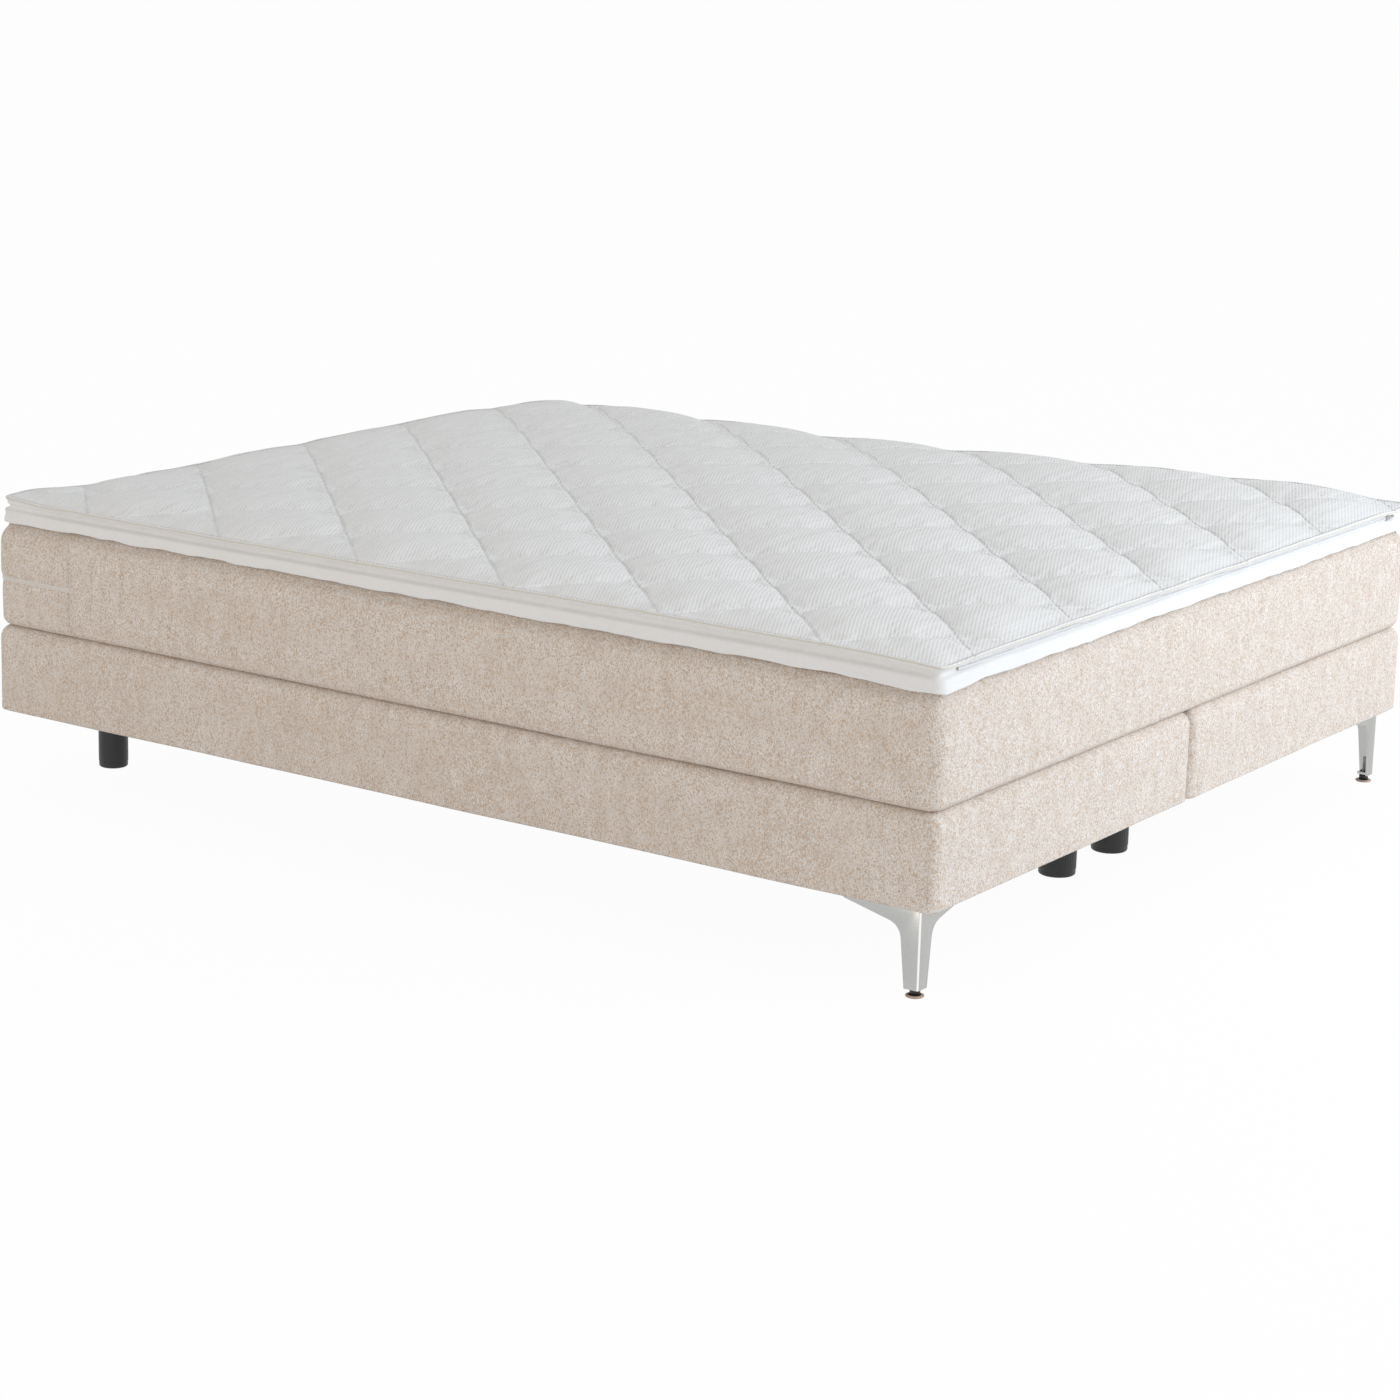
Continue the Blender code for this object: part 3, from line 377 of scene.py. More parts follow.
def wood_material():
    """Planed softwood: long grain along each board with a few darker rings."""
    material, nodes = new_material("frame_pine", Roughness=0.65)
    grain = nodes.waves(nodes.scaled((16, 1.6, 16)), 1.0, 5.0, 3.0, 1.2, wave_type="RINGS", rings_direction="Y")
    colour = nodes.ramp(grain, (0.0, (0.70, 0.52, 0.33)), (0.7, (0.62, 0.43, 0.25)), (1.0, (0.48, 0.31, 0.17)))
    pores = nodes.cloud((240, 12, 240), 4.0, 0.6)
    nodes.feed("Base Color", nodes.tinted(colour, pores, (0.35, (0.86, 0.82, 0.78)), (0.6, 1.0)))
    nodes.bump(pores, 0.0002, 0.5)
    return material


def foam_material():
    """Cut polyether foam with small open cells."""
    material, nodes = new_material("cut_foam", Roughness=0.95, Specular_IOR_Level=0.2)
    depth = nodes.cells(700)["Distance"]
    # Painted shade: the colour is darker towards the middle of each cell, where the bump lies lowest.
    nodes.feed("Base Color", nodes.ramp(depth, (0.0, (0.66, 0.62, 0.47)), (0.5, (0.83, 0.80, 0.66))))
    nodes.bump(depth, 0.0005, 0.6)
    return material


def nonwoven_material(name, colour):
    """Spun nonwoven cloth with pressed dots."""
    material, nodes = new_material(name, Roughness=0.9, Specular_IOR_Level=0.2)
    dots = nodes.cells(420, 0.15)["Distance"]
    tint = nodes.ramp(nodes.cloud(300, 4.0, 0.7), (0.3, shade(colour, 0.85)), (0.7, shade(colour, 1.08)))
    nodes.feed("Base Color", nodes.tinted(tint, dots, (0.1, 0.8), (0.35, 1.0)))
    nodes.bump(dots, 0.0003, 0.6)
    return material


def tape_material(name, colour):
    """Woven zip tape with a fine twill."""
    material, nodes = new_material(name, Roughness=0.7, Sheen_Weight=0.1)
    twill = nodes.waves(nodes.scaled(1, (0.4, 0.4, quarter / 2)), 260.0, wave_type="BANDS")
    nodes.feed("Base Color", nodes.ramp(twill, (0.0, shade(colour, 0.85)), (0.6, colour)))
    nodes.bump(twill, 0.0003, 0.6)
    return material


finishes = {}


def finish_for(name):
    """Each finish is made once, from the settings, and then shared."""
    if name not in finishes:
        scene = bpy.context.scene
        cloth, topper, legs = scene.bed_fabric, scene.bed_topper, scene.bed_legs
        makers = {
            "boucle": lambda: cover_material(cloth),
            "knit": lambda: topper_material(topper),
            "plain_knit": lambda: topper_material(topper, "topper_border_knit", ribs=False),
            # 0.97 is the near-white colour of the painted highlight on the legs' rounded upright edges.
            "chrome": lambda: metal_material("satin_metal", tuple(legs.metal_colour), 0.26, 0.97),
            "steel": lambda: metal_material("zinc_plated_steel", (0.50, 0.51, 0.53), 0.34),
            "black": lambda: plastic_material("black_leg_plastic", tuple(legs.black_colour), 0.42),
            "pad": lambda: plastic_material("pad_plastic", tuple(legs.pad_colour), 0.5),
            "wood": wood_material,
            "foam": foam_material,
            "pockets": lambda: nonwoven_material("pocket_cloth", (0.80, 0.80, 0.82)),
            "dust": lambda: nonwoven_material("dust_cover_cloth", (0.022, 0.022, 0.024)),
            "tape": lambda: tape_material("cover_zip_tape", (0.80, 0.76, 0.71)),
            "white_tape": lambda: tape_material("topper_zip_tape_weave", (0.80, 0.80, 0.80)),
            "thread": lambda: tape_material("sewing_thread", (0.50, 0.50, 0.50)),
            # Painted shade: a tan tape colour that stands for the warm shade in the groove under the topper's
            # bead.
            "painted_groove_shade": lambda: tape_material("painted_groove_shade_tape", (0.72, 0.68, 0.60)),
        }
        finishes[name] = makers[name]()
    return finishes[name]


# Shapes

def add_piece(name, bm, finish, body, nodes=(), sharp=None, accent=None):
    """Make a piece from a bmesh, seat it on a body and let it stand for CAD nodes.

    Faces with material index one get the accent finish.
    """
    mesh = mesh_from(name, bm)
    bm.free()
    mesh.materials.append(finish_for(finish))
    if accent:
        mesh.materials.append(finish_for(accent))
    mesh.shade_smooth()
    if sharp is not None:
        mesh.set_sharp_from_angle(angle=math.radians(sharp))
    piece = put(name, mesh)
    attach(piece, body)
    if nodes:
        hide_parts(*nodes)
    return piece


def add_wall(piece, thickness):
    wall = piece.modifiers.new("wall", "SOLIDIFY")
    wall.thickness = thickness
    wall.offset = -1


def smooth_out(piece):
    subdivision = piece.modifiers.new("smooth", "SUBSURF")
    subdivision.levels = subdivision.render_levels = 1


def middle(face):
    return face.calc_center_median()


def within(face, x_span, y_span):
    x, y, _ = middle(face)
    return x_span[0] < x < x_span[1] and y_span[0] < y < y_span[1]


def places(low, high, step, low_roll=0.0, high_roll=0.0, extra=()):
    """Where a box is divided along one axis: evenly, and closer where an edge rolls over."""
    inner_low, inner_high = low + low_roll, high - high_roll
    count = max(1, round((inner_high - inner_low) / step))
    marks = [inner_low + (inner_high - inner_low) * index / count for index in range(count + 1)]
    marks += [low + low_roll * index / roll_steps for index in range(roll_steps) if low_roll]
    marks += [high - high_roll * index / roll_steps for index in range(roll_steps) if high_roll]
    fixed = sorted(extra)
    marks = [mark for mark in marks
             if mark in (low, high) or all(abs(mark - other) > step / 5 for other in fixed)]
    marks = sorted(set(marks) | set(fixed))
    return [mark for index, mark in enumerate(marks) if index == 0 or mark - marks[index - 1] > weld]


def plan(low, high, step, roll, extra_x=(), extra_y=()):
    """Where a box is divided along X and along Y."""
    return places(low.x, high.x, step, roll, roll, extra_x), places(low.y, high.y, step, roll, roll, extra_y)


def lattice(*axes, open_ends=False):
    """A box divided at the given places along X, Y and Z."""
    bm = bmesh.new()
    bmesh.ops.create_cube(bm, size=1)
    bmesh.ops.translate(bm, verts=bm.verts[:], vec=(0.5, 0.5, 0.5))
    if open_ends:
        ends = [face for face in bm.faces if abs(face.normal.z) > 0.5]
        bmesh.ops.delete(bm, geom=ends, context="FACES_ONLY")
    for axis, marks in enumerate(axes):
        along = [edge for edge in bm.edges if abs(edge.verts[0].co[axis] - edge.verts[1].co[axis]) > 0.5]
        if len(marks) > 2:
            bmesh.ops.subdivide_edges(bm, edges=along, cuts=len(marks) - 2, use_grid_fill=True)
    for vert in bm.verts:
        vert.co = [marks[round(vert.co[axis] * (len(marks) - 1))] for axis, marks in enumerate(axes)]
    return bm


def round_plan(x, y, half, edge, inset, corner):
    """Move a place on a square ring, edge inside the outline, onto a rounded ring at an inset."""
    span_x, span_y = half[0] - inset, half[1] - inset
    side_x, side_y = math.copysign(1, x), math.copysign(1, y)
    x = abs(x) * span_x / max(half[0] - edge, weld)
    y = abs(y) * span_y / max(half[1] - edge, weld)
    radius = min(corner, span_x, span_y)
    gap_x, gap_y = span_x - x, span_y - y
    gap = max(gap_x, gap_y)
    if gap < radius:
        turn = (1 - gap / radius) * quarter / 2
        away, aside = radius * math.cos(turn), radius * math.sin(turn)
        if gap_x > gap_y:
            away, aside = aside, away
        x, y = span_x - radius + away, span_y - radius + aside
    return side_x * x, side_y * y


def ring_corner(corner, inset):
    """The corner radius of a ring at an inset: it tightens, but never to a point."""
    return max(corner - inset, corner * tight_corner)


def soften(bm, corner, top, bottom):
    """Round the upright corners, the top edge and the bottom edge of a divided box."""
    low = Vector([min(vert.co[axis] for vert in bm.verts) for axis in range(3)])
    high = Vector([max(vert.co[axis] for vert in bm.verts) for axis in range(3)])
    centre, half = (low + high) / 2, (high - low) / 2
    for vert in bm.verts:
        x, y = vert.co.x - centre.x, vert.co.y - centre.y
        edge = min(half.x - abs(x), half.y - abs(y))
        inset, z = edge, vert.co.z
        for radius, level, up in ((top, high.z, 1), (bottom, low.z, -1)):
            depth = abs(level - vert.co.z)
            along = edge if depth < weld else -depth
            if (depth < weld or edge < weld) and radius and abs(along) < radius:
                turn = (along + radius) / radius * quarter / 2
                inset = radius * (1 - math.cos(turn))
                z = level - up * radius * (1 - math.sin(turn))
        x, y = round_plan(x, y, half, edge, inset, ring_corner(corner, inset))
        vert.co = (centre.x + x, centre.y + y, z)


def settle(bm, height, wave, seed):
    """Let a cover lie a little unevenly, as fabric over foam does."""
    bm.normal_update()
    shift = Vector((seed * 7.3, seed * 3.1, seed * 5.7))
    for vert in bm.verts:
        vert.co += vert.normal * height * noise.noise(vert.co / wave + shift)


def band(levels, low, high, corner, step):
    """An open band round the bed through (inset, height) levels."""
    bm = lattice(*plan(low, high, step, corner), range(len(levels)), open_ends=True)
    centre, half = (low + high) / 2, (high - low) / 2
    for vert in bm.verts:
        inset, height = levels[round(vert.co.z)]
        x, y = round_plan(vert.co.x - centre.x, vert.co.y - centre.y, half, 0.0, inset,
                          ring_corner(corner, inset))
        vert.co = (centre.x + x, centre.y + y, height)
    return bm


def block(low, high, step, corner, top, bottom):
    """A softened block between two corners."""
    bm = lattice(*plan(low, high, step, corner or top), places(low.z, high.z, step, bottom, top))
    soften(bm, corner, top, bottom)
    return bm


def face_outwards(bm):
    bmesh.ops.recalc_face_normals(bm, faces=bm.faces[:])
    if bm.calc_volume(signed=True) < 0:
        bmesh.ops.reverse_faces(bm, faces=bm.faces[:])


def turned(profile, steps, centre):
    """A round shape from its profile of (radius, height) points, turned about an upright axis."""
    bm = bmesh.new()
    verts = [bm.verts.new((radius, 0, height)) for radius, height in profile]
    edges = [bm.edges.new(pair) for pair in zip(verts, verts[1:])]
    bmesh.ops.spin(bm, geom=verts + edges, cent=(0, 0, 0), axis=(0, 0, 1), dvec=(0, 0, 0),
                   angle=4 * quarter, steps=steps, use_merge=True, use_duplicate=False)
    bmesh.ops.remove_doubles(bm, verts=bm.verts[:], dist=weld)
    face_outwards(bm)
    bmesh.ops.translate(bm, verts=bm.verts[:], vec=(centre[0], centre[1], 0))
    return bm


def round_box(node):
    """The box of a round node, with its centre and its radius."""
    low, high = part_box(node)
    return low, high, ((low.x + high.x) / 2, (low.y + high.y) / 2), (high.x - low.x) / 2


def thread(start, end, turns, root, crest):
    """The (radius, height) points of a thread, from (radius, share of a turn) points."""
    pitch = (end - start) / turns
    return [(radius, start + pitch * (turn + share))
            for turn in range(turns) for radius, share in (root, crest)]


def bevel_all(bm, width, segments, angle):
    """Round every edge of a shape that is sharper than an angle."""
    edges = [edge for edge in bm.edges if edge.is_manifold and edge.calc_face_angle(0) > math.radians(angle)]
    bmesh.ops.bevel(bm, geom=edges, offset=width, offset_type="OFFSET", segments=segments, profile=0.5,
                    affect="EDGES", material=-1, clamp_overlap=True)


def cast_copy(node, width, angle):
    """A merged copy of a CAD node with its flat faces made whole and its edges rounded."""
    bm = bmesh.new()
    bm.from_mesh(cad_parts[node].data)
    bmesh.ops.remove_doubles(bm, verts=bm.verts[:], dist=weld)
    bmesh.ops.dissolve_limit(bm, angle_limit=math.radians(1), verts=bm.verts[:], edges=bm.edges[:])
    bevel_all(bm, width, 2, angle)
    return bm


def ring_path(low, high, inset, corner, step):
    """Places and directions along a rounded rectangle: (x, y, turn) with turn pointing outwards."""
    half_x, half_y = (high.x - low.x) / 2 - inset, (high.y - low.y) / 2 - inset
    centre_x, centre_y = (low.x + high.x) / 2, (low.y + high.y) / 2
    radius = max(corner - inset, 0.004)
    found = []
    for index, (out, along) in enumerate(((half_x, half_y), (half_y, half_x)) * 2):
        turn = quarter * index
        outward, forward = Vector((math.cos(turn), math.sin(turn))), Vector((-math.sin(turn), math.cos(turn)))
        run = 2 * (along - radius)
        count = max(1, round(run / step))
        for number in range(count):
            place = outward * out + forward * (-run / 2 + run * (number + 0.5) / count)
            found.append((centre_x + place.x, centre_y + place.y, turn))
        pivot = outward * (out - radius) + forward * (run / 2)
        arc = max(1, round(radius * quarter / step))
        for number in range(arc):
            angle = turn + quarter * (number + 0.5) / arc
            found.append((centre_x + pivot.x + radius * math.cos(angle),
                          centre_y + pivot.y + radius * math.sin(angle), angle))
    return found


def add_bars(bm, path, level, length, height, proud):
    """Small raised bars along a path, such as zip teeth, stitches or staples."""
    for x, y, turn in path:
        place = Matrix.Translation((x, y, level)) @ Matrix.Rotation(turn, 4, "Z")
        bmesh.ops.create_cube(bm, size=1, matrix=place @ Matrix.Diagonal((proud, length, height, 1)))


def add_teeth(name, path, level, proud, finish, body):
    """Two rows of zip teeth, one over the other."""
    teeth = bmesh.new()
    for row, up in ((path[::2], zip_row_apart), (path[1::2], -zip_row_apart)):
        add_bars(teeth, row, level + up, zip_tooth_length, zip_tooth_height, proud)
    add_piece(name, teeth, finish, body, sharp=40)


def add_slider(name, node, body, front):
    """A zip slider: the CAD plate with softened edges and a crown on its front."""
    low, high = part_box(node)
    bm = cast_copy(node, 0.0003, 40)
    crown = bmesh.new()
    place = Matrix.Translation((low.x + 0.0055, high.y if front > 0 else low.y, (low.z + high.z) / 2))
    bmesh.ops.create_cube(crown, size=1, matrix=place @ Matrix.Diagonal((0.0075, 0.0022, 0.0030, 1)))
    bevel_all(crown, 0.0008, 3, 40)
    mesh = mesh_from("crown", crown)
    crown.free()
    bm.from_mesh(mesh)
    bpy.data.meshes.remove(mesh)
    add_piece(name, bm, "chrome", body, [node], sharp=35)


def add_springs(name, node, body, across, along):
    """A unit of pocket springs: one barrel-shaped pocket, repeated in rows."""
    low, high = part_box(node)
    pitch_x, pitch_y = (high.x - low.x) / across, (high.y - low.y) / along
    radius = min(pitch_x, pitch_y) / 2 - 0.0002
    height = high.z - low.z
    profile = [(0, high.z - 0.001), (radius * 0.80, high.z - 0.001), (radius * 0.97, high.z - height * 0.14),
               (radius, low.z + height * 0.5), (radius * 0.97, low.z + height * 0.14),
               (radius * 0.80, low.z), (0, low.z)]
    bm = turned(profile, 10, (low.x + pitch_x / 2, low.y + pitch_y / 2))
    unit = add_piece(name, bm, "pockets", body, [node])
    for count, offset in ((across, (pitch_x, 0, 0)), (along, (0, pitch_y, 0))):
        rows = unit.modifiers.new("rows", "ARRAY")
        rows.count = count
        rows.use_relative_offset = False
        rows.use_constant_offset = True
        rows.constant_offset_displace = offset


# Bases

def build_base_covers(cloth):
    for seed, side in enumerate(sides):
        low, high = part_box(f"{side}_base_cover")
        hem_x = (low.x + hem_width, high.x - hem_width)
        hem_y = (low.y + hem_width, high.y - hem_width)
        bm = lattice(*plan(low, high, cover_cell, base_top_roll, hem_x, hem_y),
                     places(low.z, high.z, 0.020, base_bottom_roll, base_top_roll))
        inner = [face for face in bm.faces if middle(face).z - low.z < weld and within(face, hem_x, hem_y)]
        bmesh.ops.delete(bm, geom=inner, context="FACES")
        soften(bm, base_corner, base_top_roll, base_bottom_roll)
        settle(bm, cloth.unevenness, 0.22, seed)
        cover = add_piece(f"{side}_base_upholstery", bm, "boucle", "bases",
                          [f"{side}_base_cover"])
        add_wall(cover, base_cloth)


def build_base_filling():
    for side in sides:
        low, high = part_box(f"{side}_base_foam")
        bm = block(low, high, 0.06, base_corner - base_cloth, high.z - low.z - 0.004, 0.0)
        add_piece(f"{side}_base_foam_layer", bm, "foam", "bases", [f"{side}_base_foam"])
        add_springs(f"{side}_base_pocket_springs", f"{side}_base_springs", "bases", 13, 31)


def build_base_frame():
    """Give the boards, which keep their CAD shape, a finish of their own."""
    boards = ("outer_side_rail", "inner_side_rail", "foot_rail", "head_rail", "foot_leg_board",
              "head_leg_board", "cross_bar_1", "cross_bar_2")
    for side in sides:
        for board in boards:
            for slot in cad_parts[f"{side}_{board}"].material_slots:
                slot.material = finish_for("wood")


def build_dust_covers():
    """Thin black cloth stapled inside the hem, sagging a little between the boards."""
    for side in sides:
        low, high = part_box(f"{side}_dust_cover")
        bm = lattice(*plan(low, high, 0.03, 0.0), [low.z, high.z])
        start, end = low.y + 0.30, high.y - 0.16
        for vert in bm.verts:
            along = clamp((vert.co.y - start) / (end - start))
            across = (vert.co.x - low.x) / (high.x - low.x)
            sag = math.sin(math.pi * along) * math.sin(math.pi * across)
            vert.co.z -= 0.0035 * sag + 0.0012 * sag * noise.noise(vert.co / 0.12)
        cover = add_piece(f"{side}_underside_cloth", bm, "dust", "bases",
                          [f"{side}_dust_cover"], sharp=40)
        staples = bmesh.new()
        add_bars(staples, ring_path(low, high, 0.008, 0.0, 0.055), low.z - 0.0002, 0.0100, 0.0008, 0.0013)
        add_piece(f"{side}_underside_staples", staples, "steel", "bases", sharp=40)


# Legs and hardware

def flute(bm, centre, radius, count, depth):
    """Press fine upright flutes into the widest part of a round shape."""
    for vert in bm.verts:
        out = Vector((vert.co.x - centre[0], vert.co.y - centre[1]))
        if abs(out.length - radius) < weld:
            turn = math.atan2(out.y, out.x)
            out *= 1 - depth / radius * (0.5 + 0.5 * math.cos(count * turn))
            vert.co.x, vert.co.y = centre[0] + out.x, centre[1] + out.y


def build_black_legs():
    strap_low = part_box("foot_coupling_strap")[0].z
    for side in sides:
        base_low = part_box(f"{side}_base_cover")[0].z
        for place in ("foot_inner", "head_inner", "head_outer"):
            node = f"{side}_{place}_leg"
            _, high, centre, radius = round_box(node)
            top = (base_low if place == "head_outer" else strap_low) - 0.0003
            profile = [(0, high.z), (0.0032, high.z), (0.0040, high.z - 0.0008), (0.0040, top),
                       (radius - 0.0012, top), (radius, top - 0.0012), (radius, 0.012),
                       (radius - 0.0008, 0.0112), (radius - 0.0008, 0.0100), (radius - 0.0006, 0.004)]
            profile += [(radius - 0.0006 - 0.0034 * (1 - math.cos(turn)), 0.004 * (1 - math.sin(turn)))
                        for turn in [quarter * step / 4 for step in range(1, 5)]]
            profile += [(radius * 0.7, 0.0), (radius * 0.68, 0.0012), (0, 0.0012)]
            bm = turned(profile, 168 if place == "foot_inner" else 64, centre)
            if place == "foot_inner":
                flute(bm, centre, radius, 42, 0.0007)
            add_piece(f"{side}_{place}_round_leg", bm, "black", "bases", [node], sharp=35)


def build_corner_legs(legs):
    for side in sides:
        node = f"{side}_corner_leg"
        bm = cast_copy(node, legs.edge_radius, 25)
        add_piece(f"{side}_cast_corner_leg", bm, "chrome", "bases", [node], sharp=30)


def build_levelling_feet():
    """Studs with a grooved thread and a collar, each on a moulded pad."""
    for side in sides:
        node = f"{side}_levelling_pad"
        _, high, centre, radius = round_box(node)
        top = high.z
        profile = [(0, top), (radius * 0.62, top), (radius * 0.70, top - 0.0006),
                   (radius - 0.0018, top - 0.0008), (radius - 0.0005, top - 0.0014), (radius, top * 0.5),
                   (radius - 0.0004, 0.0008),
                   (radius - 0.0014, 0.0), (radius * 0.75, 0.0), (radius * 0.73, 0.0006), (0, 0.0006)]
        bm = turned(profile, 56, centre)
        for face in bm.faces:
            face.material_index = int(middle(face).z > top - 0.0005)
        add_piece(f"{side}_levelling_foot_pad", bm, "pad", f"{side}_pad", [node], sharp=50,
                  accent="black")
        node = f"{side}_levelling_stud"
        low, high, _, collar = round_box(node)
        shoulder = low.z + 0.0090
        profile = [(0, low.z), (collar - 0.0006, low.z), (collar, low.z + 0.0006), (collar, shoulder - 0.0006),
                   (collar - 0.0006, shoulder), (0.0040, shoulder)]
        profile += thread(shoulder, high.z - 0.001, 22, (0.0035, 0.25), (0.0040, 0.75))
        profile += [(0.0030, high.z), (0, high.z)]
        bm = turned(profile[::-1], 28, centre)
        for face in bm.faces:
            face.material_index = int(middle(face).z < shoulder + weld)
        add_piece(f"{side}_levelling_thread", bm, "steel", f"{side}_stud", [node], sharp=50,
                  accent="black")


def build_hardware():
    for end in ("foot", "head"):
        node = f"{end}_coupling_strap"
        add_piece(f"{end}_base_coupling", cast_copy(node, 0.0004, 60), "steel", "bases", [node],
                  sharp=40)
    for side in sides:
        for index in (1, 2):
            node = f"{side}_leg_screw_{index}"
            low, high, centre, head = round_box(node)
            top = low.z + 0.0025
            profile = [(0, low.z + 0.0009), (0.0012, low.z + 0.0009), (0.0013, low.z), (0.0022, low.z),
                       (head, top - 0.0004), (head, top), (0.0020, top)]
            profile += thread(top, high.z - 0.004, 9, (0.0014, 0.3), (0.0020, 0.8))
            profile += [(0.0011, high.z - 0.002), (0, high.z)]
            add_piece(f"{side}_wood_screw_{index}", turned(profile[::-1], 24, centre), "steel", "bases",
                      [node], sharp=50)


# Mattress

def past_seam(along):
    """Whether a place along the bed lies past the upright seams, where the zip runs."""
    return along > seam_along - weld


def build_mattress_cover(cloth):
    """A fitted cover with an upright seam on each long side and a zip round the head end."""
    low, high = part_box("mattress_cover")
    tape_low, tape_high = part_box("mattress_zip_tape")
    zip_level = (tape_low.z + tape_high.z) / 2
    half_open = zip_opening / 2
    seam_marks = [seam_along + offset for offset in (-0.006, -0.002, 0.0, 0.002, 0.006)]
    zip_marks = [zip_level + offset for offset in (-0.009, -0.0045, -half_open, half_open, 0.0045, 0.009)]
    bm = lattice(*plan(low, high, cover_cell, mattress_top_roll, (), seam_marks),
                 places(low.z, high.z, 0.018, mattress_bottom_roll, mattress_top_roll, zip_marks))
    slit = [face for face in bm.faces
            if abs(middle(face).z - zip_level) < half_open and past_seam(middle(face).y)]
    bmesh.ops.delete(bm, geom=slit, context="FACES")
    soft = {}
    for vert in bm.verts:
        x, y, z = vert.co
        share = (z - low.z) / (high.z - low.z)
        draw = mattress_bulge * (1 - math.sin(math.pi * clamp(share)) ** 0.6)
        if past_seam(y):
            draw += zip_cloth_step * near(max(0.0, abs(z - zip_level) - half_open), 0.0075)
            if z < zip_level:
                draw += 0.0022 * near(zip_level - z, 0.10)
        if min(x - low.x, high.x - x) < weld and z < high.z - mattress_top_roll - weld:
            draw += cloth.seam_depth * near(abs(y - seam_along), 0.0045)
        soft[vert] = draw if min(x - low.x, high.x - x, y - low.y, high.y - y) < weld else 0.0
    soften(bm, mattress_corner, mattress_top_roll, mattress_bottom_roll)
    bm.normal_update()
    for vert, draw in soft.items():
        out = Vector((vert.normal.x, vert.normal.y, 0))
        if draw and out.length > 0.1:
            vert.co -= out.normalized() * draw
    settle(bm, cloth.unevenness, 0.25, 5)
    cover = add_piece("mattress_upholstery", bm, "boucle", "mattress", ["mattress_cover"])
    add_wall(cover, mattress_cloth)


def build_mattress_filling():
    foam_corner = mattress_corner - 0.006
    for name, node, top, bottom in (("mattress_comfort_foam", "mattress_top_foam", 0.034, 0.0),
                                    ("mattress_base_foam", "mattress_bottom_foam", 0.0, 0.008)):
        bm = block(*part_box(node), 0.07, foam_corner, top, bottom)
        add_piece(name, bm, "foam", "mattress", [node])
    low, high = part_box("mattress_edge_foam")
    core_low, core_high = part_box("mattress_spring_core")
    gap = 0.0003
    spans = (core_low.x - gap, core_high.x + gap), (core_low.y - gap, core_high.y + gap)
    bm = lattice(*plan(low, high, 0.08, 0.02, *spans), places(low.z, high.z, 0.035))
    hole = [face for face in bm.faces if abs(face.normal.z) > 0.5 and within(face, *spans)]
    bmesh.ops.delete(bm, geom=hole, context="FACES")
    bmesh.ops.bridge_loops(bm, edges=[edge for edge in bm.edges if edge.is_boundary])
    soften(bm, foam_corner, 0.0, 0.0)
    bmesh.ops.recalc_face_normals(bm, faces=bm.faces[:])
    add_piece("mattress_side_foam", bm, "foam", "mattress", ["mattress_edge_foam"], sharp=40)
    add_springs("mattress_pocket_springs", "mattress_spring_core", "mattress", 24, 28)


def build_mattress_zip():
    """A woven tape behind the slit, two rows of teeth on it, and the slider."""
    low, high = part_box("mattress_zip_tape")
    cover_low, cover_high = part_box("mattress_cover")
    level, half = (low.z + high.z) / 2, (high.z - low.z) / 2
    rising = [(0.0035, -half), (0.0030, -0.0056), (-0.0018, -0.0038), (-0.0023, -0.0012)]
    levels = [(inset, level + up) for inset, up in rising + [(inset, -up) for inset, up in rising[::-1]]]
    ring_low = Vector((low.x, cover_low.y + cover_high.y - high.y, low.z))
    bm = band(levels, ring_low, high, mattress_corner - 0.0045, 0.02)
    bmesh.ops.bisect_plane(bm, geom=bm.verts[:] + bm.edges[:] + bm.faces[:], plane_co=(0, low.y, 0),
                           plane_no=(0, 1, 0), clear_inner=True)
    tape = add_piece("mattress_zip_band", bm, "tape", "mattress", ["mattress_zip_tape"])
    add_wall(tape, 0.0010)
    path = [step for step in ring_path(ring_low, high, -0.0024, mattress_corner - 0.0025, zip_tooth_pitch)
            if step[1] > low.y + 0.004]
    add_teeth("mattress_zip_teeth", path, level, 0.0011, "tape", "mattress")
    add_slider("mattress_zip_puller", "mattress_zip_slider", "mattress_slider", 1)


# Topper

def rise(value, start, end):
    """Climb smoothly from nought at start to one at end."""
    share = clamp((value - start) / (end - start))
    return share * share * (3 - 2 * share)


def fade(value):
    return (1 - clamp(value)) ** 2


def bed_share(x, y):
    """Where a place lies across the topper and along it, from the near foot corner."""
    return ((x - topper_low.x) / (topper_high.x - topper_low.x),
            (y - topper_low.y) / (topper_high.y - topper_low.y))


def from_foot_corner(x, y):
    return math.hypot(x - topper_low.x, y - topper_low.y)


def from_head_corner(x, y):
    return math.hypot(x - topper_low.x, topper_high.y - y)


def slump(x, y):
    """How far the topper sinks: most along the far side, and a little at the near foot corner."""
    across, along = bed_share(x, y)
    valley = 1 - abs(math.sin(math.pi * (y - x - rising_start) / rising_pitch))
    far = 0.027 * rise(along, 0.18, 0.72) * (1 - 0.18 * rise(along, 0.85, 1.0))
    far -= 0.007 * max(0.0, 1 - ((along - 0.11) / 0.13) ** 2)
    far += 0.0070 * valley * rise(across, 0.80, 0.98)
    head = 0.014 * rise(across, 0.03, 0.17) * (1 - 0.25 * rise(across, 0.6, 1.0))
    head += 0.0035 * valley * rise(along, 0.90, 0.99)
    side = 0.005 * rise(along, 0.2, 0.8) * (1 - rise(along, 0.93, 1.0))
    return (far * fade((topper_high.x - x) / 0.65) + head * fade((topper_high.y - y) / 0.45)
            + side * fade((x - topper_low.x) / 0.30) + 0.003 * fade(from_foot_corner(x, y) / 0.30))


def foot_fall(y):
    """How far the panel rolls down towards its seam at the foot end."""
    return 0.0045 * fade((y - topper_low.y) / 0.16)


